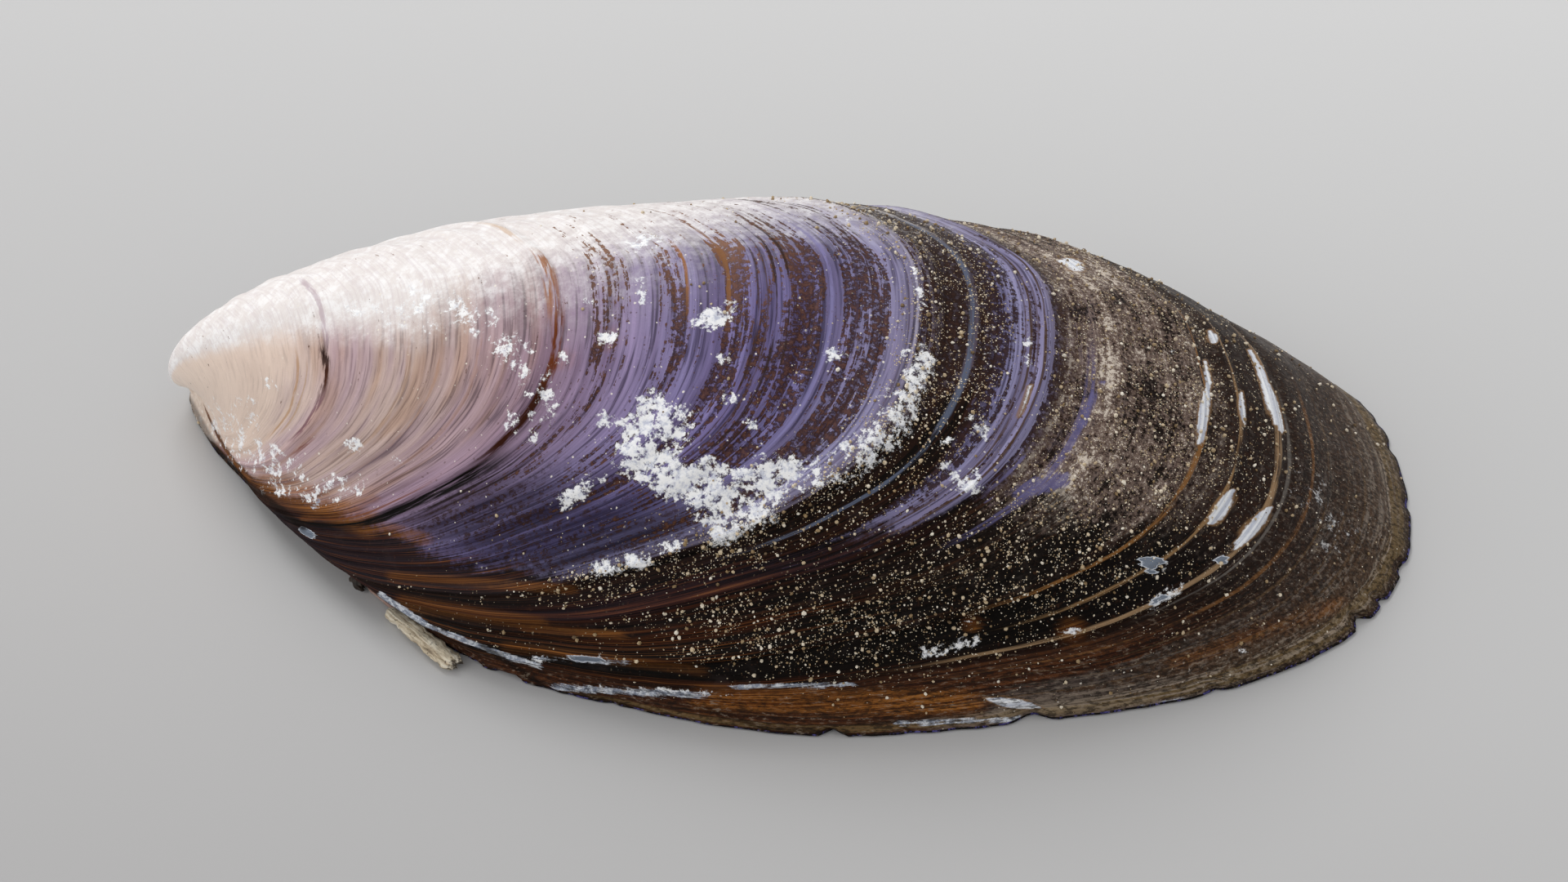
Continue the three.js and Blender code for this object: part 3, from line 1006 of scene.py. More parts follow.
    ink_core: float = 0.35
    ink_end: float = 0.02
    clump_noise: Pair = (0.8, 3.0)
    clumps: Span = (0.40, 0.62)
    clump_weights: Pair = (-0.62, -0.10)
    gritty: Span = (0.05, 0.2)
    grit_sizes: tuple[Pair, ...] = ((3.2, 0.22), (5.5, 0.32), (9.0, 0.42))
    grit_noise: Pair = (6.0, 2.0)
    grit_tones: Stops = ((0.35, "7c664a"), (0.48, "b8a382"), (0.6, "e6dbc6"))
    grit_strength: float = 0.9
    powder_weight: float = 0.9
    powder_mix: Pair = (4.6, 2.2)
    flake_edge: FullStep = (0.48, 0.9, 0.0, 0.88)
    flake_mask: Span = (0.03, 0.25)
    dot_cells: float = 2.4
    dot_edge: FullStep = (0.2, 0.08, 0.0, 0.75)
    dot_mask: Span = (0.1, 0.6)
    dot_grain: Span = (0.42, 0.55)
    powder_tone: TwoTone = TwoTone(0.34, 0.58, "ccd0de", "ffffff")
    violet_sway: float = 1.4
    violet_mask: Span = (0.03, 0.2)
    violet_coat: Coat = Coat(0.4, 0.7, 0.75, "6a658f")
    chalk_mix: Pair = (2.0, 1.5)
    chalk_edge: FullStep = (0.4, 0.8, 0.0, 0.85)
    chalk_mask: Span = (0.05, 0.3)
    chalk_tone: TwoTone = TwoTone(0.4, 0.6, "8f98aa", "e6ebf2")
    chip_sway: float = 0.9
    chip_mask: Span = (0.05, 0.2)
    chip_border: Coat = Coat(0.24, 0.34, 0.85, "d5dbe4")
    chip_middle: Coat = Coat(0.44, 0.56, 0.9, "66707f")
    # Worn ridges with painted highlight glints on them.
    crest_sway: float = 0.9
    crest_edge: Span = (0.35, 0.75)
    crest_mask: Span = (0.03, 0.2)
    crest_halo: Coat = Coat(0.05, 0.3, 0.7, "8a6a4a")
    halo_breaks: Span = (0.3, 0.5)
    crest_glint_tone: TwoTone = TwoTone(0.36, 0.6, "c3c8d6", "fafcff")
    crest_strength: float = 0.95
    # Dark strokes along the near edge: partly dark shell, partly painted shade where the edge lies in
    # shadow.
    dark_breaks: FullStep = (0.3, 0.5, 0.5, 1.0)
    dark_and_shade_tone: str = "140a06"
    # The lip: partly dark skin, partly painted shade of the edge in shadow, with blue-violet shell.
    lip_sway: float = 0.8
    lip_edge: Span = (0.4, 0.6)
    lip_skin_and_shade_tone: TwoTone = TwoTone(0.52, 0.6, "0d0a09", "4e4a86")
    leather_ages: Span = (0.885, 0.93)
    leather_scale: Triple = (1.6, 5.0, 5.0)
    leather_noise: Triple = (1.0, 4.0, 0.7)
    leather_coats: tuple[Coat, ...] = (Coat(0.52, 0.4, 0.7, "1a1512"), Coat(0.55, 0.68, 0.5, "948676"))
    raised_weights: tuple[float, ...] = (0.55, 0.5, 0.25, 0.3, 0.12, 0.7, 0.7, 1.6)
    dull_weights: tuple[float, ...] = (0.06, 0.3, 0.2, 0.2, 0.12)
    bump_height: float = 0.09
    bump_strength: float = 0.5
    least_roughness: float = 0.28

    def fields(self, p: Painter) -> ShellFields:
        """Makes the shared inputs and noises."""
        place, age = p.growth()
        here = p.place()
        broad = self.broad.build(p, place, age)
        return ShellFields(
            place=place,
            age=age,
            here=here,
            lines=self.lines.build(p, place, age),
            bands=self.bands.build(p, place, age),
            streak=self.streaks.build(p, place, age),
            grain=p.noise(here, *self.grain),
            blot=p.noise(here, *self.blot),
            fluff=p.noise(here, *self.fluff),
            wobble=p.times(p.sway(0.0, (broad, 1.0)), self.wobble),
        )

    def prism_layer(self, p: Painter, f: ShellFields) -> Socket:
        """Colours the prismatic layer: tone by age, ochre stripes when young, and fine ring lines."""
        colour = p.ramp(p.plus(f.age, p.times(f.wobble, self.prism_wobble)), self.prism)
        stripes = self.stripes.build(p, f.place, f.age)
        young = p.times(*(p.step(f.age, *span) for span in self.stripe_ages))
        colour = p.coat(colour, self.ochre_stripes, stripes, young)
        colour = p.coat(colour, self.mauve_stripes, stripes, young)
        grown = p.step(f.age, *self.grown)
        colour = p.coat(colour, self.dark_bands, f.bands, grown)
        colour = p.coat(colour, self.light_lines, f.lines, grown)
        colour = p.coat(colour, self.dark_lines, f.lines, grown)
        colour = p.coat(colour, self.bloom, f.grain)
        deep = p.attribute("deep")
        strength, tone = self.deep_shade
        colour = p.blend(
            p.times(deep, p.step(f.bands, *self.deep_bands), strength), colour, tone, "MULTIPLY"
        )
        colour = p.coat(colour, self.deep_brown, f.streak, deep, p.step(f.grain, *self.deep_specks))
        tip = p.times(p.attribute("tip"), self.tip_strength)
        return p.blend(tip, colour, p.two_tone(self.worn_tip, f.grain))

    def bleach_and_light_layer(self, p: Painter, f: ShellFields, colour: Socket) -> Socket:
        """Whitens the worn upper side in clouds, partly bleached shell and partly painted light where the
        light falls on it, and sprinkles pale and dark specks.
        """
        # The whitened upper side: partly bleached shell, partly painted light where the light falls on it.
        worn = p.attribute("bleach_and_light")
        cloud = p.times(p.sway(0.0, (f.fluff, self.wash_cloud)), p.step(worn, *self.wash_clouded))
        bleach_and_light = p.step(p.plus(p.times(worn, self.wash_gain), cloud), 0.0, 1.0)
        white = p.coat(p.two_tone(self.bleached_and_lit_tones, f.fluff), self.wash_lines, f.lines)
        colour = p.blend(bleach_and_light, colour, white)
        colour = p.coat(colour, self.salt_coat, f.age, self.sprinkle(p, f, self.salt))
        unwashed = p.maths("SUBTRACT", 1.0, worn)
        pepper = self.sprinkle(p, f, self.pepper)
        return p.coat(
            colour, self.pepper_coat, f.streak, pepper, p.step(f.age, *self.pepper_ages), unwashed
        )

    def sprinkle(self, p: Painter, f: ShellFields, speckle: Speckle) -> Socket:
        """Sprinkles uneven specks.

        Args:
            p: painter of the material.
            f: the shared fields.
            speckle: size, rarity and reach of the specks.

        Returns:
            1 in a speck and 0 between them.
        """
        cell = p.cells(f.here, speckle.scale)
        chance = p.add("SeparateColor", {0: cell.outputs["Color"]})
        there = p.step(p.maths("SUBTRACT", chance.outputs[0], speckle.rarity), 0.0, self.speck_chance)
        least, more = self.speck_sizes
        radius = p.times(p.plus(p.times(chance.outputs[1], more), least), speckle.reach)
        uneven = p.sway(cell.outputs["Distance"], (f.grain, self.speck_unevenness))
        edge = self.speck_edge
        return p.times(there, p.step(p.maths("SUBTRACT", radius, uneven), -edge, edge))

    def streak_layer(self, p: Painter, f: ShellFields, colour: Socket) -> tuple[Socket, Socket]:
        """Lays broken streaks of brown skin between the rings.

        How much is left at an age comes from two ramps that meet at the middle age.
        """
        joint = self.late_streaks[0][1]
        left = p.plus(p.levels(f.age, self.early_streaks), p.levels(f.age, self.late_streaks), -joint)
        level = p.sway(0.5, *zip((f.streak, f.bands, f.grain), self.streak_mix))
        bare, reach = self.streak_limits
        limit = p.plus(p.times(left, p.attribute("streaky"), reach), bare)
        cover = p.step(p.maths("SUBTRACT", level, limit), *self.streak_edge)
        cover = p.times(cover, p.step(f.grain, *self.streak_breaks))
        upper = p.times(p.step(f.grain, *self.upper_grain), p.step(f.age, *self.upper_ages))
        tone = p.coat(p.two_tone(self.streak_tone, f.grain), self.upper_streaks, f.place, upper)
        late = p.times(p.step(f.age, *self.late_ages), self.late_strength)
        tone = p.blend(late, tone, p.ramp(p.plus(f.age, f.wobble), self.skin))
        return p.blend(p.times(cover, self.streak_strength), colour, tone), cover

    def dust_layer(self, p: Painter, f: ShellFields, colour: Socket) -> Socket:
        """Mottles the late rings with pale grey-brown crust."""
        crust = p.noise(f.here, *self.crust_noise)
        level = p.sway(0.0, *zip((crust, f.blot, f.bands, f.lines), self.crust_mix))
        dust = p.attribute("dust")
        for coat in self.crust_coats:
            colour = p.coat(colour, coat, level, dust)
        return colour

    def skin_layer(self, p: Painter, f: ShellFields, colour: Socket) -> tuple[Socket, Socket]:
        """Lays the whole dark skin, with golden-brown streaks, over the hinge side and the late rings."""
        tone = p.ramp(p.plus(f.age, f.wobble), self.skin)
        near_hinge = p.step(f.place, *self.near_hinge)
        tone = p.coat(tone, self.hinge_brown, f.bands, near_hinge)
        tone = p.coat(tone, self.gold_lines, f.lines, p.step(f.bands, *self.gold_bands), near_hinge)
        tone = p.coat(tone, self.black_lines, f.lines)
        tone = p.coat(tone, self.grey_blots, f.blot)
        tone = p.coat(tone, self.brown_grain, f.grain)
        low_rim = p.times(p.step(f.place, *self.low_rim_places), p.step(f.age, *self.low_rim_ages))
        low_rim = p.times(low_rim, p.step(f.bands, *self.low_rim_bands), self.low_rim_strength)
        tone = p.blend(low_rim, tone, p.two_tone(self.low_rim, f.lines))
        ragged = p.sway(p.attribute("skin"), *zip((f.streak, f.blot, f.grain), self.skin_mix))
        cover = p.step(ragged, *self.skin_edge)
        colour = p.blend(p.times(cover, self.skin_strength), colour, tone)
        bands = p.plus(f.bands, p.times(f.grain, self.amber_grain))
        amber = p.times(p.attribute("amber"), p.step(bands, *self.amber_bands))
        return p.blend(amber, colour, p.two_tone(self.honey, f.lines)), cover

    def ink_layer(self, p: Painter, f: ShellFields, colour: Socket) -> Socket:
        """Draws the named growth lines, each broken and of uneven width."""
        age = p.plus(f.age, p.times(f.wobble, self.ink_sway))
        width = p.step(f.streak, *self.ink_widths)
        broken = p.step(f.streak, *self.ink_breaks)
        for stroke in INK_STROKES:
            off = p.maths("ABSOLUTE", p.plus(age, -stroke.age))
            line = p.step(p.maths("DIVIDE", off, width), stroke.half, self.ink_core * stroke.half)
            start = p.step(f.place, stroke.first - self.ink_end, stroke.first + self.ink_end)
            end = p.step(f.place, stroke.last + self.ink_end, stroke.last - self.ink_end)
            colour = p.blend(p.times(line, start, end, broken, stroke.strength), colour, stroke.code)
        return colour

    def grit_layer(self, p: Painter, f: ShellFields, colour: Socket) -> tuple[Socket, Socket]:
        """Scatters stuck specks of sand too small to be grains of their own: three sizes, clumped."""
        grit = p.attribute("grit")
        clump = p.step(p.noise(f.here, *self.clump_noise), *self.clumps)
        clumped, even = self.clump_weights
        rarity = p.plus(p.times(clump, grit, clumped), p.times(grit, even), 1.0)
        specks: Feed = 0.0
        for scale, reach in self.grit_sizes:
            speck = p.times(
                self.sprinkle(p, f, Speckle(scale, rarity, reach)), p.step(grit, *self.gritty)
            )
            specks = p.maths("MAXIMUM", specks, speck)
        tone = p.ramp(p.noise(f.here, *self.grit_noise), self.grit_tones)
        return p.blend(p.times(specks, self.grit_strength), colour, tone), specks

    def powder_layer(self, p: Painter, f: ShellFields, colour: Socket) -> tuple[Socket, Socket]:
        """Lays white powder, broken into flakes and dots."""
        powder = p.attribute("powder")
        level = p.sway(p.times(powder, self.powder_weight), *zip((f.fluff, f.grain), self.powder_mix))
        flakes = p.times(p.step(level, *self.flake_edge), p.step(powder, *self.flake_mask))
        dots = p.step(p.cells(f.here, self.dot_cells).outputs["Distance"], *self.dot_edge)
        dots = p.times(dots, p.step(powder, *self.dot_mask), p.step(f.grain, *self.dot_grain))
        amount = p.maths("MAXIMUM", flakes, dots)
        return p.blend(amount, colour, p.two_tone(self.powder_tone, f.grain)), amount

    def mark_layer(self, p: Painter, f: ShellFields, colour: Socket) -> tuple[Socket, Socket]:
        """Lays violet patches, chalk lines, chips, crisp worn crests with painted highlight glints and their
        halo, and dark strokes, partly dark shell and partly painted shade.
        """
        violet = p.attribute("violet")
        level = p.sway(violet, (f.streak, self.violet_sway))
        colour = p.coat(colour, self.violet_coat, level, p.step(violet, *self.violet_mask))
        chalk = p.attribute("chalk")
        level = p.sway(chalk, *zip((f.fluff, f.lines), self.chalk_mix))
        amount = p.times(p.step(level, *self.chalk_edge), p.step(chalk, *self.chalk_mask))
        colour = p.blend(amount, colour, p.two_tone(self.chalk_tone, f.grain))
        chip = p.attribute("chip")
        level = p.sway(chip, (f.grain, self.chip_sway))
        colour = p.coat(colour, self.chip_border, level, p.step(chip, *self.chip_mask))
        colour = p.coat(colour, self.chip_middle, level)
        # Worn ridges with painted highlight glints, white at the core, with a tan halo.
        crest_glint = p.attribute("crest_glint")
        colour = p.coat(colour, self.crest_halo, crest_glint, p.step(f.streak, *self.halo_breaks))
        white = p.step(p.sway(crest_glint, (f.grain, self.crest_sway)), *self.crest_edge)
        white = p.times(white, p.step(crest_glint, *self.crest_mask))
        colour = p.blend(
            p.times(white, self.crest_strength), colour, p.two_tone(self.crest_glint_tone, f.lines)
        )
        # Dark strokes along the near edge: partly dark shell, partly painted shade where the edge lies in
        # shadow.
        dark = p.times(p.attribute("dark"), p.step(f.grain, *self.dark_breaks))
        return p.blend(dark, colour, self.dark_and_shade_tone), white

    def rim_layer(self, p: Painter, f: ShellFields, colour: Socket) -> Socket:
        """Darkens the broken lip, partly its dark skin and partly painted shade where the edge lies in
        shadow, with bits of blue-violet shell showing in it.
        """
        lip = p.step(p.sway(p.attribute("lip"), (f.grain, self.lip_sway)), *self.lip_edge)
        return p.blend(lip, colour, p.two_tone(self.lip_skin_and_shade_tone, f.grain))

    def leather_layer(self, p: Painter, f: ShellFields, colour: Socket) -> tuple[Socket, Socket]:
        """Mottles the last rings, whose skin is leathery, and gives the relief of its hairs."""
        late = p.step(f.age, *self.leather_ages)
        leather = p.noise(p.place(self.leather_scale), *self.leather_noise)
        for coat in self.leather_coats:
            colour = p.coat(colour, coat, leather, late)
        return colour, p.times(leather, late)

    def build(self) -> bpy.types.Material:
        """Makes the material."""
        p = Painter("outer_shell")
        f = self.fields(p)
        colour = self.bleach_and_light_layer(p, f, self.prism_layer(p, f))
        colour, streaks = self.streak_layer(p, f, colour)
        colour = self.dust_layer(p, f, colour)
        colour, cover = self.skin_layer(p, f, colour)
        colour = self.ink_layer(p, f, colour)
        colour, specks = self.grit_layer(p, f, colour)
        colour, powder = self.powder_layer(p, f, colour)
        colour, crests = self.mark_layer(p, f, colour)
        colour = self.rim_layer(p, f, colour)
        colour, hairs = self.leather_layer(p, f, colour)
        white = p.maths("MAXIMUM", powder, crests)
        raised = (f.lines, f.bands, f.streak, f.grain, streaks, specks, p.times(white, f.grain), hairs)
        dull = (cover, white, specks, f.grain, p.attribute("dust"))
        relief = p.weighted(0.0, *zip(raised, self.raised_weights))
        rough = p.weighted(self.least_roughness, *zip(dull, self.dull_weights))
        return p.finish(
            {
                "Base Color": colour,
                "Roughness": rough,
                "IOR": 1.45,
                "Specular IOR Level": 0.07,
                "Normal": p.bump(relief, self.bump_height, self.bump_strength),
            }
        )


@dataclass(frozen=True)
class NacreFinish:
    """The inside: pearly blue-white, with a blue-violet border and a dull muscle scar."""

    tones: Stops = (
        (0.0, "cfd0d6"), (0.5, "d9dbe2"), (0.8, "c3cbdc"), (0.9, "7f86b4"), (0.965, "3f4176"),
        (1.0, "1e1a2c"),
    )

    pearl: Stops = ((0.3, "e6d9dc"), (0.5, "dfe6ea"), (0.7, "cfdbe8"))
    pearl_ages: FullStep = (0.9, 0.6, 0.0, 0.6)
    cloud: Pair = (0.25, 3.0)
    cloud_sway: float = 0.12
    ripple: Pair = (1.2, 4.0)
    ripple_scale: Triple = (0.4, 1.0, 1.0)
    scar_tint: Tint = (0.55, "8d92b0")
    raised: Pair = (0.5, -0.6)
    dull: Pair = (0.1, 0.2)
    least_roughness: float = 0.16
    bump: Pair = (0.08, 0.4)

    def build(self) -> bpy.types.Material:
        """Makes the material."""
        p = Painter("nacre")
        _, age = p.growth()
        cloud = p.noise(p.place(), *self.cloud)
        ripple = p.noise(p.place(self.ripple_scale), *self.ripple)
        scar = p.attribute("scar")
        colour = p.ramp(p.sway(age, (cloud, self.cloud_sway)), self.tones)
        colour = p.blend(p.step(age, *self.pearl_ages), colour, p.ramp(cloud, self.pearl))
        strength, tone = self.scar_tint
        colour = p.blend(p.times(scar, strength), colour, tone)
        relief = p.weighted(0.0, *zip((ripple, scar), self.raised))
        dull = p.weighted(self.least_roughness, *zip((ripple, scar), self.dull))
        return p.finish(
            {
                "Base Color": colour,
                "Roughness": dull,
                "Coat Weight": 0.5,
                "Coat Roughness": 0.12,
                "Normal": p.bump(relief, *self.bump),
            }
        )


@dataclass
class OuterGrid:
    """The outside as rows from beak to edge: points, outward normals, ages, places, shares and masks."""

    points: Array
    normals: Array
    age: Array
    place: Array
    share: Array
    masks: dict[str, Array] = field(default_factory=dict)


@dataclass
class Valve:
    """The valve: outside, rim and hollow as one closed surface."""

    columns: int = 380
    place_samples: int = 2001
    shown_from: Span = (0.09, 0.15)
    shown_to: Span = (0.76, 0.68)
    hidden_density: float = 0.5
    outside_rows: int = 190
    share_samples: int = 4001
    line_crowding: float = 1.6
    line_reach: float = 0.01
    edge_crowding: float = 2.0
    edge_from: float = 0.965
    hollow_rows: int = 34
    flat_rows: int = 6
    flat_end: float = 0.9
    deep_start: float = 0.88
    first_share: float = 0.012
    fine_wear: WaveNoise = WaveNoise(11, 1.6, 24, 2)
    broad_wear: WaveNoise = WaveNoise(12, 6.0, 16, 2)
    fine_part: float = 0.6
    wear_depth: float = 0.03
    chip_depth: float = 0.2
    chip_span: Span = (0.7, 1.7)
    lumps: tuple[tuple[float, WaveNoise], ...] = (
        (0.05, WaveNoise(21, 7.0)), (0.02, WaveNoise(22, 2.5))
    )
    lump_ages: Span = (0.03, 0.2)
    ripple_ages: Span = (0.05, 0.3)
    edge_relief: float = 0.4
    edge_relief_span: Span = (1.005, 0.985)
    lift_from: float = 0.95
    lip_height: float = 0.16
    lip_rows: int = 4
    lip_swell: float = 0.05
    lip_undercut: float = 0.06
    land_width: float = 0.9
    crown_wall: float = 1.2
    hollow_centre: Triple = (34.5, -8.0, 0.0)
    hollow_end: float = 0.04
    nick_reach: float = 0.02
    crowded_rings: float = 6.0
    open_rings: float = 26.0
    relief_near: Span = (0.13, 0.24)
    relief_far: float = 0.88
    ripples: tuple[Triple, ...] = (
        (22.0, 0.05, 0.4), (37.0, 0.035, 2.1), (61.0, 0.025, 4.4), (88.0, 0.014, 1.3),
    )
    skin_bound: Levels = (
        (0.0, 0.13), (0.10, 0.16), (0.22, 0.20), (0.27, 0.24), (0.34, 0.27), (0.38, 0.29), (0.44, 0.30),
        (0.52, 0.30), (0.60, 0.315), (0.645, 0.33), (0.657, 0.50), (0.690, 0.52), (0.702, 0.42),
        (0.728, 0.42), (0.738, 0.46), (0.80, 0.455), (0.84, 0.47), (0.93, 0.46), (0.95, 0.36),
        (1.0, 0.33),
    )
    tip_bound: Levels = (
        (0.0, 0.15), (0.3, 0.125), (0.6, 0.085), (0.8, 0.065), (1.0, 0.055),
    )
    # Bound of the whitened upper side, which is partly painted light.
    wash_bound: Levels = (
        (0.0, 0.63), (0.08, 0.575), (0.12, 0.556), (0.20, 0.552), (0.30, 0.54), (0.36, 0.575),
        (0.42, 0.59), (0.50, 0.63), (0.60, 0.68), (0.70, 0.71), (0.80, 0.76),
    )
    grit_levels: Levels = (
        (0.0, 0.0), (0.38, 0.0), (0.46, 0.03), (0.56, 0.10), (0.62, 0.12), (0.65, 0.95), (0.695, 0.85),
        (0.71, 0.12), (0.73, 0.12), (0.745, 0.75), (0.84, 0.95), (0.87, 0.5), (0.92, 0.16), (1.0, 0.06),
    )
    grazing: float = 0.08
    skin_soft: float = 0.05
    hinge_places: Span = (0.10, 0.16)
    grown_ages: Span = (0.45, 0.65)
    far_places: Span = (0.66, 0.74)
    far_ages: Span = (0.70, 0.86)
    far_skin: float = 0.9
    deep_places: tuple[Span, Span] = ((0.28, 0.33), (0.44, 0.37))
    deep_ages: tuple[Span, Span] = ((0.40, 0.47), (0.67, 0.62))
    wash_soft: Levels = (
        (0.0, 0.03), (0.10, 0.03), (0.14, 0.03), (0.28, 0.04), (0.45, 0.11), (0.8, 0.13)
    )
    wash_end: Levels = ((0.0, 1.0), (0.76, 1.0), (0.88, 0.35), (1.0, 0.2))
    wash_ages: Span = (0.82, 0.66)
    wash_strength: float = 0.92
    upper_places: Span = (0.58, 0.70)
    upper_ages: Span = (0.68, 0.58)
    upper_loss: float = 0.6
    streaky_places: Span = (0.33, 0.42)
    dusty_places: tuple[Span, Span] = ((0.34, 0.45), (0.80, 0.68))
    dusty_ages: tuple[Span, Span] = ((0.735, 0.76), (0.87, 0.82))
    grit_places: tuple[Span, Span] = ((0.27, 0.34), (0.76, 0.66))
    least_grit: float = 0.15
    lip_shares: Span = (0.9980, 0.9995)
    lip_places: Span = (0.05, 0.07)
    tip_soft: float = 0.012
    far_tip: Span = (0.90, 0.95)
    scars: tuple[tuple[Pair, Pair], ...] = (((56.0, -8.5), (7.5, 5.0)), ((9.0, -3.5), (2.6, 1.6)))
    scar_soft: Span = (1.08, 0.92)
    camera: PhotoCamera = PhotoCamera()

    def places(self) -> Array:
        """Gives places round the outline, denser on the side that the photograph shows."""
        where = np.linspace(0.0, 1.0, self.place_samples)
        shown = window(self.shown_from, self.shown_to, where)
        density = self.hidden_density + (1.0 - self.hidden_density) * shown
        return crowded_steps(0.0, 1.0, self.columns + 1, density, where)[:-1]

    def shares(self) -> Array:
        """Gives the shares of the outside's rows, denser at the growth lines and at the edge."""
        where = np.linspace(self.first_share, 1.0, self.share_samples)
        density = np.ones_like(where)
        for line in GROWTH_LINES:
            density += self.line_crowding * np.exp(-(((where - line.share) / self.line_reach) ** 2))
        density += self.edge_crowding * smooth_step(self.edge_from, 1.0, where)
        return crowded_steps(self.first_share, 1.0, self.outside_rows, density, where)

    def ragged(self, place: Array) -> Array:
        """Gives how far the edge is worn in at a place: fine seeded noise and the named nicks."""
        angle = 2 * pi * place
        circle = np.column_stack([np.cos(angle), np.sin(angle)]) * FORM.edge_length / (2 * pi)
        fine = self.fine_wear(circle)
        chips = smooth_step(*self.chip_span, self.fine_part * fine + self.broad_wear(circle))
        return self.wear_depth * (1.0 + fine) + self.chip_depth * chips + FORM.nick_depth(place)

    def outside(self, place: Array, share: Array) -> OuterGrid:
        """Works out the outside: smooth rings, drawn in at the worn edge, raised along their normals.

        What raises them is the ledges plus low ripples of the age, and soft lumps. It fades where the rings
        crowd in front of the beak and along the front of the hinge.

        Args:
            place: places round the outline.
            share: shares of the rows.

        Returns:
            The grid, still without masks.
        """
        near_edge = smooth_step(1.0 - self.nick_reach, 1.0, share)[:, None, None]
        depth = self.ragged(place)[None, :, None] * near_edge
        edge = FORM.edge(place)[None] - FORM.away(place)[None] * depth
        rings = FORM.rings(share[:, None], place, edge)
        age = FORM.age(share[:, None], place[None])
        along = np.gradient(rings, share, axis=0)
        normal = unit(np.cross(along, np.roll(rings, -1, axis=1) - np.roll(rings, 1, axis=1)))
        fade = smooth_step(self.crowded_rings, self.open_rings, np.linalg.norm(along, axis=-1))
        fade *= smooth_step(*self.relief_near, place) * smooth_step(1.0, self.relief_far, place)
        ripple = np.zeros_like(age)
        for rate, height, phase in self.ripples:
            ripple += height * np.sin(2.0 * pi * rate * age + phase)
        lumps = sum(height * noise(rings) for height, noise in self.lumps)
        swell = ripple * smooth_step(*self.ripple_ages, age) + lumps * smooth_step(*self.lump_ages, age)
        kept = self.edge_relief + (1.0 - self.edge_relief) * smooth_step(*self.edge_relief_span, share)
        relief = fade * (FORM.ledge(age) + swell) * kept[:, None]
        lift = self.lip_height * smooth_step(self.lift_from, 1.0, share)[:, None, None] * UP
        points = rings + normal * relief[..., None] + lift
        points[..., 2] = np.maximum(points[..., 2], self.lip_height * 0.5)
        return OuterGrid(points, normal, age, place, share)

    def lip(self, edge: Array, place: Array) -> Array:
        """Works out the rows that round the edge down to the rim plane: a quarter turn under the edge."""
        angle = np.linspace(0.0, 1.0, self.lip_rows + 1)[1:, None, None] * 0.5 * pi
        height = edge[:, 2][None, :, None]
        reach = self.lip_swell * np.sin(2.0 * angle) - self.lip_undercut * (1.0 - np.cos(angle))
        outward = FORM.away(place)[None] * reach
        flat = edge * np.array([1.0, 1.0, 0.0])
        return flat[None] + outward + height * np.cos(angle) * UP

    def hollow(self, place: Array) -> tuple[Array, Array, Array]:
        """Works out the hollow: the smooth outside drawn in towards a point of the rim plane.

        Returns:
            The rows, their shares, and the pole under the beak.
        """
        flat = np.linspace(1.0, self.flat_end, self.flat_rows)
        deep = np.geomspace(self.deep_start, self.hollow_end, self.hollow_rows - self.flat_rows)
        share = np.concatenate([flat, deep])
        rings = FORM.rings(share[:, None], place, FORM.edge(place)[None])
        beak = FORM.beak_rise * UP
        size = np.ptp(rings.reshape(-1, 3), axis=0)
        drawn = np.array([2.0 * self.land_width, 2.0 * self.land_width, self.crown_wall])
        scale = 1.0 - drawn / size
        centre = np.array(self.hollow_centre)
        return (rings - centre) * scale + centre, share, (beak - centre) * scale + centre

    def seen(self, grid: OuterGrid) -> Array:
        """Gives 1 where the outside faces the photograph's camera and 0 where it faces away."""
        along = np.gradient(grid.points, axis=0)
        around = np.roll(grid.points, -1, axis=1) - np.roll(grid.points, 1, axis=1)
        eye = self.camera.axes()[0]
        sight = unit(eye - (grid.points + BEAK_IN_FRAME))
        return smooth_step(0.0, self.grazing, (unit(np.cross(along, around)) * sight).sum(-1))

    def masks(self, grid: OuterGrid) -> dict[str, Array]:
        """Works out the masks of the outside.

        Marks come from the photograph. Skin covers places in front of a bound that runs from the hinge edge
        to the rear end as the shell ages, and the far side's last rings. Whitening of the upper side covers
        places behind another bound: partly bleached shell and partly painted light where the light falls on
        it.

        Args:
            grid: the outside.

        Returns:
            The masks by name, each from 0 to about 1.
        """
        age, line = grid.age, np.broadcast_to(grid.place, grid.age.shape)
        pixels = self.camera.pixels(grid.points + BEAK_IN_FRAME)
        seen = self.seen(grid)
        found = {kind.value: np.zeros_like(age) for kind in MarkKind}
        for mark in PHOTO_MARKS:
            layer = found[mark.kind.value]
            np.maximum(layer, mark.mask(pixels) * seen, out=layer)
        before_skin = line - read_levels(age, self.skin_bound)
        near_side = smooth_step(self.skin_soft, -self.skin_soft, before_skin) * (line < self.far_tip[0])
        front = smooth_step(*self.hinge_places, line) + smooth_step(*self.grown_ages, age)
        far_side = smooth_step(*self.far_places, line) * smooth_step(*self.far_ages, age)
        skin = np.clip(near_side * np.minimum(front, 1.0) + self.far_skin * far_side, 0.0, 1.0)
        tip = smooth_step(self.tip_soft, -self.tip_soft, line - read_levels(age, self.tip_bound))
        found["tip"] = tip + smooth_step(*self.far_tip, line)
        found["skin"] = skin * (1.0 - found["tip"])
        found["deep"] = window(*self.deep_places, line) * window(*self.deep_ages, age)
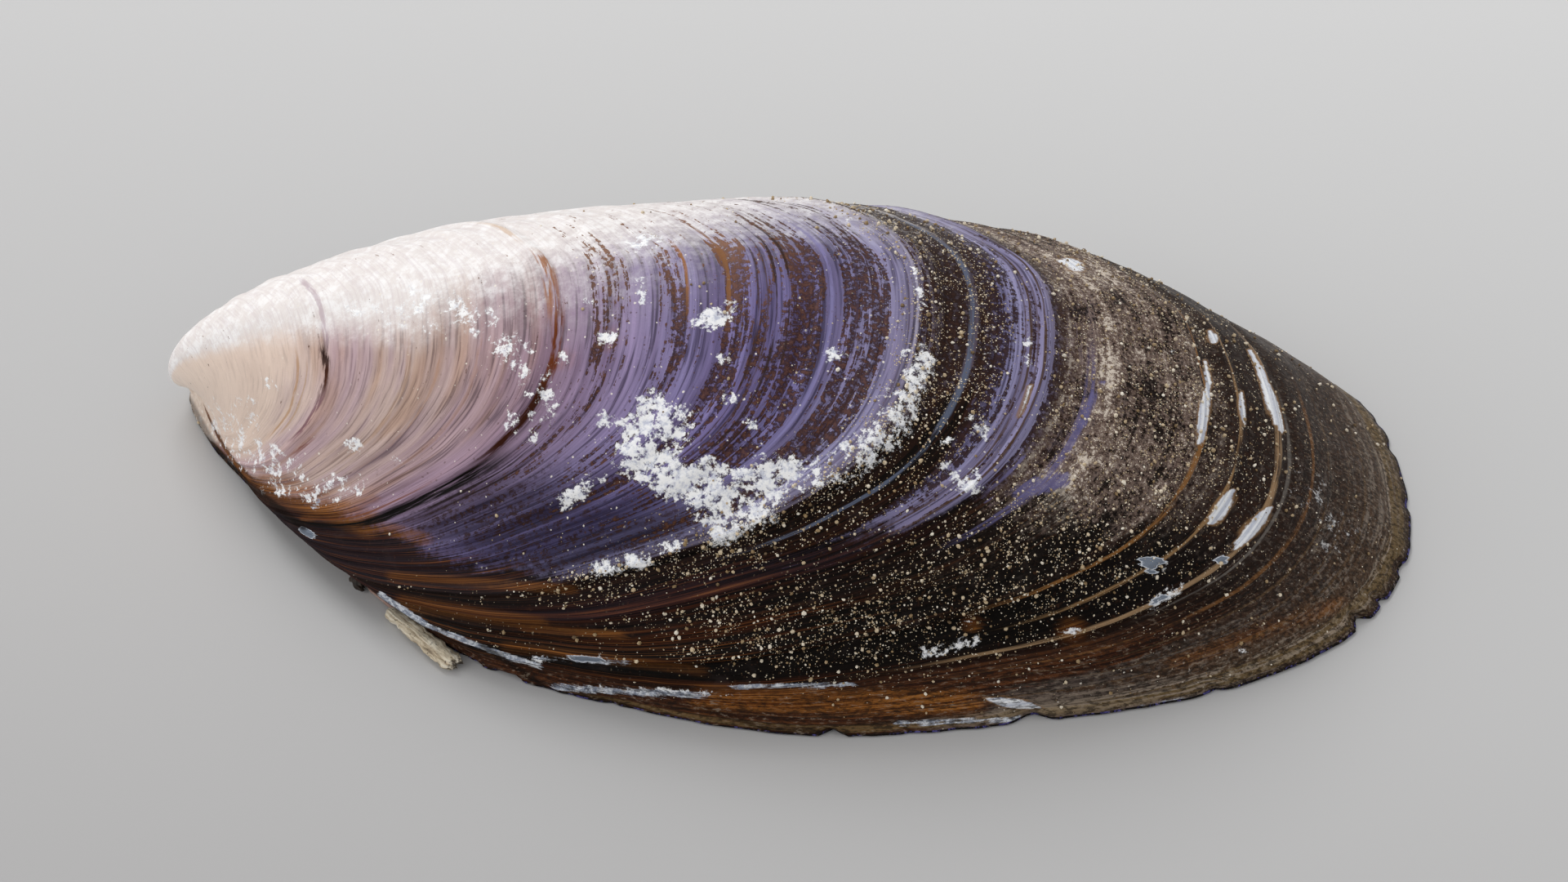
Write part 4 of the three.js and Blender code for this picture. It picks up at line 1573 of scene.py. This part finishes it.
        # Whitened upper side: partly bleached shell, partly painted light where the light falls on it.
        soft = read_levels(age, self.wash_soft)
        bleach_and_light = smooth_step(-1.0, 1.0, (line - read_levels(age, self.wash_bound)) / soft)
        end = read_levels(line, self.wash_end) * smooth_step(*self.wash_ages, age)
        found["bleach_and_light"] = bleach_and_light * end * self.wash_strength
        upper = smooth_step(*self.upper_places, line) * smooth_step(*self.upper_ages, age)
        found["streaky"] = smooth_step(*self.streaky_places, line) * (1.0 - self.upper_loss * upper)
        found["dust"] = window(*self.dusty_places, line) * window(*self.dusty_ages, age)
        gritty = np.maximum(window(*self.grit_places, line), self.least_grit)
        found["grit"] = read_levels(age, self.grit_levels) * gritty
        # The lip, darkened later: partly dark skin, partly painted shade of the edge in shadow.
        edge = smooth_step(*self.lip_shares, grid.share)[:, None]
        found["lip"] = edge * smooth_step(*self.lip_places, line)
        return found

    def scar(self, rows: Array) -> Array:
        """Gives the muscle scars of the hollow: a large oval near the rear end, a small one in front."""
        found = np.zeros(rows.shape[:2])
        for middle, half in self.scars:
            reach = np.hypot(*np.moveaxis((rows[..., :2] - middle) / np.array(half), -1, 0))
            found = np.maximum(found, smooth_step(*self.scar_soft, reach))
        return found

    def grid(self) -> OuterGrid:
        """Works out the outside with its masks."""
        grid = self.outside(self.places(), self.shares())
        grid.masks = self.masks(grid)
        return grid

    def build(
        self,
        grid: OuterGrid,
        outer: bpy.types.Material,
        nacre: bpy.types.Material,
    ) -> bpy.types.Object:
        """Makes the valve's mesh object from its outside, with both materials."""
        lip = self.lip(grid.points[-1], grid.place)
        hollow, inner_share, inner_pole = self.hollow(grid.place)
        wide = len(grid.place)
        lip_age = np.ones((len(lip), wide))
        ages = np.concatenate([grid.age, lip_age, np.repeat(inner_share[:, None], wide, axis=1)])
        beyond = np.zeros((len(lip) + len(hollow), wide))
        full = {key: np.concatenate([mask, beyond]) for key, mask in grid.masks.items()}
        hollow_from = len(grid.points) + len(lip)
        full["lip"][len(grid.points) : hollow_from] = smooth_step(*self.lip_places, grid.place)
        full["scar"] = np.concatenate([np.zeros((hollow_from, wide)), self.scar(hollow)])
        surface = Surface(
            first_pole=FORM.beak_rise * UP,
            rows=np.concatenate([grid.points, lip, hollow]),
            last_pole=inner_pole,
            place=grid.place,
            age=ages,
            masks=full,
            inside_from=hollow_from - 1,
        )
        piece = surface.build("valve_shell", (outer, nacre))
        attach(piece, BODY)
        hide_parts("valve")
        return piece


@dataclass(frozen=True)
class GrainFinish:
    """Grains of sand: quartz and shell grit from brown to cream, each with its own tone."""

    tones: Stops = ((0.0, "5c4830"), (0.3, "947a54"), (0.6, "c6b292"), (1.0, "f2ebdc"))
    cloud: Pair = (9.0, 2.0)
    cloud_sway: float = 0.5
    dull: float = 0.3
    least_roughness: float = 0.4
    bump: Pair = (0.03, 0.5)

    def build(self) -> bpy.types.Material:
        """Makes the material."""
        p = Painter("sand_grain")
        cloud = p.noise(p.place(), *self.cloud)
        tone = p.sway(p.attribute("tone"), (cloud, self.cloud_sway))
        return p.finish(
            {
                "Base Color": p.ramp(tone, self.tones),
                "Roughness": p.plus(p.times(cloud, self.dull), self.least_roughness),
                "Normal": p.bump(cloud, *self.bump),
            }
        )


@dataclass
class SandGrains:
    """Grains of sand stuck to the outside, clumped along the ledges: rough lumps of twenty faces each."""

    count: int = 6500
    seed: int = 41
    least: float = 0.022
    most: float = 0.13
    rarity_power: float = 5.0
    sunk: float = 0.35
    clump_size: float = 2.2
    clump_span: Span = (-0.1, 1.2)
    small_clump: float = 0.3
    small_span: Span = (-0.5, 0.9)
    scattered: float = 0.04
    grit_power: float = 1.5
    upright_span: Span = (0.0, 0.3)
    stretch: Span = (0.75, 1.3)
    unevenness: Span = (0.8, 1.15)
    tone_shape: Pair = (1.6, 1.3)
    tiny: float = 1e-6
    slack: float = 1.01

    def lump(self) -> tuple[Array, Array]:
        """Gives the corners and faces of a regular body with twenty faces, from the golden ratio."""
        golden = 0.5 * (1.0 + np.sqrt(5.0))
        short = [(0.0, s, t * golden) for s in (-1.0, 1.0) for t in (-1.0, 1.0)]
        corners = unit(np.array([np.roll(corner, turn) for turn in range(3) for corner in short]))
        near = np.linalg.norm(corners[:, None] - corners[None], axis=-1)
        apart = near > self.tiny
        joined = apart & (near < self.slack * near[apart].min())
        numbers = range(len(corners))
        faces = [
            (a, b, c)
            for a in numbers
            for b in numbers
            for c in numbers
            if a < b < c and joined[a, b] and joined[b, c] and joined[a, c]
        ]
        faces = np.array(faces)
        start, second, third = np.moveaxis(corners[faces], 1, 0)
        inward = (np.cross(second - start, third - start) * start).sum(-1) < 0.0
        faces[inward] = faces[inward][:, ::-1]
        return corners, faces

    def spots(self, grid: OuterGrid, rng: np.random.Generator) -> tuple[Array, Array]:
        """Picks where grains stick: likelier with more grit, more surface and inside clumps.

        Returns:
            The points and the normals there.
        """
        step = np.linalg.norm(np.gradient(grid.points, axis=0), axis=-1)
        around = np.roll(grid.points, -1, axis=1)
        area = step * np.linalg.norm(around - grid.points, axis=-1)
        small = WaveNoise(self.seed + 1, self.small_clump * self.clump_size)(grid.points)
        clump = smooth_step(*self.clump_span, WaveNoise(self.seed, self.clump_size)(grid.points))
        clump *= smooth_step(*self.small_span, small)
        upright = smooth_step(*self.upright_span, grid.normals[..., 2])
        weight = (grid.masks["grit"] ** self.grit_power * area * (self.scattered + clump**2) * upright)[:-1]
        pick = rng.choice(weight.size, self.count, replace=False, p=(weight / weight.sum()).ravel())
        row, column = np.unravel_index(pick, weight.shape)
        along, across = rng.uniform(size=(2, self.count, 1))
        start = grid.points[row, column]
        down, sideways = grid.points[row + 1, column] - start, around[row, column] - start
        return start + along * down + across * sideways, grid.normals[row, column]

    def build(self, grid: OuterGrid, material: bpy.types.Material) -> bpy.types.Object:
        """Makes all grains as one mesh."""
        rng = np.random.default_rng(self.seed)
        point, normal = self.spots(grid, rng)
        corners, faces = self.lump()
        chance = rng.uniform(size=(self.count, 1, 1)) ** self.rarity_power
        radius = self.least + (self.most - self.least) * chance
        spin = np.linalg.qr(rng.normal(size=(self.count, 3, 3)))[0]
        stretch = rng.uniform(*self.stretch, (self.count, 1, 3))
        rough = rng.uniform(*self.unevenness, (self.count, len(corners), 1))
        lumps = (corners[None] * stretch * rough) @ (spin * np.sign(np.linalg.det(spin))[:, None, None])
        sink = radius * (1.0 - 2.0 * self.sunk)
        vertices = point[:, None] + normal[:, None] * sink + lumps * radius + BEAK_IN_FRAME
        numbers = faces[None] + len(corners) * np.arange(self.count)[:, None, None]
        mesh = bpy.data.meshes.new("sand_grains")
        mesh.from_pydata((vertices.reshape(-1, 3) * MM).tolist(), [], numbers.reshape(-1, 3).tolist())
        tone = np.repeat(rng.beta(*self.tone_shape, self.count), len(corners))
        mesh.attributes.new("tone", "FLOAT", "POINT").data.foreach_set("value", tone.astype(np.float32))
        mesh.materials.append(material)
        piece = add_object("sand_grains", mesh)
        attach(piece, BODY)
        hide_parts("valve")
        return piece


@dataclass(frozen=True)
class LigamentFinish:
    """Dried ligament: fibrous along its length, darker in its creases and at its torn end."""

    name: str
    tones: Stops
    fibres: RingNoise = RingNoise(16.0, 2.5, 4.0, 0.65)
    grain: Span = (6.0, 3.0)
    creases: Coat = Coat(0.58, 0.72, 0.75, "33241a")
    torn_end: Coat = Coat(0.94, 1.02, 0.85, "3a2c20")
    torn_sway: float = 0.3
    raised: Pair = (1.2, 0.5)
    dull: float = 0.25
    least_roughness: float = 0.5
    bump: Pair = (0.14, 0.8)

    def build(self) -> bpy.types.Material:
        """Makes the material."""
        p = Painter(self.name)
        around, along = p.growth()
        fibre = self.fibres.build(p, around, along)
        grain = p.noise(p.place(), *self.grain)
        colour = p.coat(p.ramp(fibre, self.tones), self.creases, grain)
        colour = p.coat(colour, self.torn_end, p.sway(along, (grain, self.torn_sway)))
        relief = p.weighted(0.0, *zip((fibre, grain), self.raised))
        return p.finish(
            {
                "Base Color": colour,
                "Roughness": p.plus(p.times(grain, self.dull), self.least_roughness),
                "Normal": p.bump(relief, *self.bump),
            }
        )


@dataclass(frozen=True)
class LigamentPart:
    """One piece of the ligament: an uneven oval tube along the hinge edge, in millimetres.

    Start and end are places on the outline. The gap is kept from the valve's edge, the narrowing is the
    share of width lost at the start, the flare how far the end stands off, and the rise how far its middle
    arches. The start is blunt, and the torn end is smaller, drawn out into fibres and a little hollow.
    """

    name: str
    finish: LigamentFinish
    start: float
    end: float
    width: float
    thickness: float
    gap: float
    narrowing: float = 0.45
    flare: float = 0.0
    rise: float = 0.2
    raggedness: float = 0.1
    stations: int = 60
    sides: int = 40
    clearance: float = 0.02
    blunt_start: float = 0.06
    torn_from: float = 0.95
    torn_size: float = 0.72
    lumps: tuple[Pair, Pair] = ((1.0, 0.8), (0.6, 0.3))
    tear_size: float = 0.35
    tear_depth: float = 0.22
    tear_power: int = 12
    end_hollow: float = 0.12

    def build(self, seed: int) -> bpy.types.Object:
        """Carries the oval along the hinge edge, rounded at its start and torn ragged at its end."""
        part = np.linspace(0.0, 1.0, self.stations)
        place = self.start + (self.end - self.start) * part
        away = FORM.away(place)
        blunt = np.sqrt(np.clip(part / self.blunt_start, 0.0, 1.0))
        rounded = blunt * (
            self.torn_size + (1.0 - self.torn_size) * smooth_step(1.0, self.torn_from, part)
        )
        widest = 0.5 * self.width * (1.0 - self.narrowing * (1.0 - part) ** 2)
        out = self.gap + widest + self.flare * part**2
        low = self.clearance + 0.5 * self.thickness + self.rise * np.sin(pi * part) ** 2
        centre = FORM.edge(place) + away * out[:, None] + low[:, None] * UP
        angle = np.linspace(0.0, 2.0 * pi, self.sides, endpoint=False)
        oval = np.cos(angle)[None, :, None] * away[:, None] * (widest * rounded)[:, None, None]
        half_height = (0.5 * self.thickness * rounded)[:, None, None]
        oval = oval + np.sin(angle)[None, :, None] * UP * half_height
        rows = centre[:, None] + oval
        uneven = sum(
            weight * WaveNoise(seed + number, size)(rows)
            for number, (weight, size) in enumerate(self.lumps)
        )
        rows = centre[:, None] + oval * (1.0 + self.raggedness * uneven[..., None])
        tangent = unit(np.gradient(centre, axis=0))
        circle = np.column_stack([np.cos(angle), np.sin(angle)]) * self.width
        tear = self.tear_depth * WaveNoise(seed + 2, self.tear_size, 16, 2)(circle)
        torn = (part**self.tear_power)[:, None, None]
        rows = rows + torn * tear[None, :, None] * tangent[:, None]
        rows[..., 2] = np.maximum(rows[..., 2], 0.0)
        surface = Surface(
            first_pole=rows[0].mean(0),
            rows=rows,
            last_pole=rows[-1].mean(0) - self.end_hollow * tangent[-1],
            place=angle / (2.0 * pi),
            age=np.repeat(part[:, None], self.sides, axis=1),
        )
        piece = surface.build(self.name, (self.finish.build(),))
        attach(piece, BODY)
        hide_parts("ligament")
        return piece


STRAW = LigamentFinish(
    "dry_ligament", ((0.3, "6a5844"), (0.42, "bcab90"), (0.54, "ddd2bc"), (0.7, "f0eadc"))
)
PINKISH = LigamentFinish("thin_ligament", ((0.3, "5a3c34"), (0.5, "a8887c"), (0.7, "cdb8ac")))
DARK_KNOB = LigamentFinish("dark_ligament", ((0.3, "120d0a"), (0.55, "3a2c22"), (0.75, "6a5644")))


@dataclass
class LigamentRemains:
    """What is left of the hinge ligament: the torn straw strip, a thin layer beside it, and a dark knob."""

    parts: tuple[LigamentPart, ...] = (
        LigamentPart("ligament_strip", STRAW, 0.148, 0.174, 1.2, 0.6, 0.08, 0.4, 0.25),
        LigamentPart("ligament_layer", PINKISH, 0.139, 0.158, 0.26, 0.34, 0.04, 0.6, 0.0, 0.1),
        LigamentPart(
            "ligament_knob", DARK_KNOB, 0.1345, 0.1385, 0.62, 0.55, 0.02, 0.1, 0.0, 0.1, 0.16, 24, 28
        ),
    )
    seed: int = 31

    def build(self) -> list[bpy.types.Object]:
        """Makes the pieces."""
        return [part.build(self.seed + 10 * number) for number, part in enumerate(self.parts)]


@dataclass(frozen=True)
class FloorFinish:
    """The pale studio floor with painted light, a little lighter behind the shell than in front of it, in
    millimetres.
    """

    front: float = -400.0
    back: float = 400.0
    sideways: float = 0.6
    # Painted light: darker in front of the shell, lighter behind it.
    tones: Stops = ((0.0, "c4c4c4"), (0.41, "abaaaa"), (0.62, "dadada"), (1.0, "c4c4c4"))

    def build(self) -> bpy.types.Material:
        """Makes the material."""
        p = Painter("pale_floor")
        split = p.add("SeparateXYZ", {0: p.place()})
        depth = p.plus(split.outputs[1], p.times(split.outputs[0], self.sideways))
        back = p.add("MapRange", {"Value": depth, "From Min": self.front, "From Max": self.back}).outputs[0]
        return p.finish(
            {
                "Base Color": p.ramp(back, self.tones),
                "Roughness": 0.9,
                "Specular IOR Level": 0.1,
            }
        )


@dataclass(frozen=True)
class Lamp:
    """A soft square lamp that looks at the shell: its place and size in metres, and its power in watts."""

    name: str
    place: Triple
    size: float
    power: float

    def build(self) -> bpy.types.Object:
        """Makes the lamp."""
        data = bpy.data.lights.new(self.name, "AREA")
        data.energy, data.size = self.power, self.size
        lamp = add_object(self.name, data)
        lamp.location = self.place
        lamp.rotation_euler = (-Vector(self.place)).to_track_quat("-Z", "Y").to_euler()
        return lamp


@dataclass
class Studio:
    """Floor, soft lamps and an even world light."""

    floor_half: float = 3.0
    floor_drop: float = 0.00002
    ambient: float = 0.54
    lamps: tuple[Lamp, ...] = (
        Lamp("key", (-0.12, 0.20, 0.28), 0.24, 0.62),
        Lamp("side", (-0.34, -0.10, 0.16), 0.3, 0.42),
        Lamp("fill", (0.25, -0.20, 0.36), 0.4, 0.25),
    )

    def floor(self) -> bpy.types.Object:
        """Makes the floor, a square just under the rim plane."""
        half, low = self.floor_half, -self.floor_drop
        mesh = bpy.data.meshes.new("floor")
        corners = [(-half, -half, low), (half, -half, low), (half, half, low), (-half, half, low)]
        mesh.from_pydata(corners, [], [(0, 1, 2, 3)])
        mesh.materials.append(FloorFinish().build())
        floor = add_object("floor", mesh)
        return floor

    def world(self) -> None:
        """Gives the scene a plain even world light."""
        world = bpy.data.worlds.new("studio")
        world.use_nodes = True
        background = world.node_tree.nodes["Background"]
        background.inputs["Color"].default_value = (1.0, 1.0, 1.0, 1.0)
        background.inputs["Strength"].default_value = self.ambient
        bpy.context.scene.world = world

    def build(self) -> None:
        """Builds the floor, the lamps and the world, and shows colours as they are."""
        self.floor()
        for lamp in self.lamps:
            lamp.build()
        self.world()
        bpy.context.scene.view_settings.view_transform = "Standard"


def main() -> None:
    """Builds the camera, the studio and each piece of the shell, in that order."""
    logging.basicConfig(level=logging.INFO, format="%(name)s: %(message)s")
    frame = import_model()
    LOG.info("frame with nodes %s", ", ".join(sorted(frame["nodes"])))
    camera = PhotoCamera()
    camera.build()
    Studio().build()
    valve = Valve(camera=camera)
    grid = valve.grid()
    pieces = [
        valve.build(grid, OuterFinish().build(), NacreFinish().build()),
        SandGrains().build(grid, GrainFinish().build()),
        *LigamentRemains().build(),
    ]
    for piece in pieces:
        LOG.info("%s: %d faces", piece.name, len(piece.data.polygons))


if __name__ == "__main__":
    main()
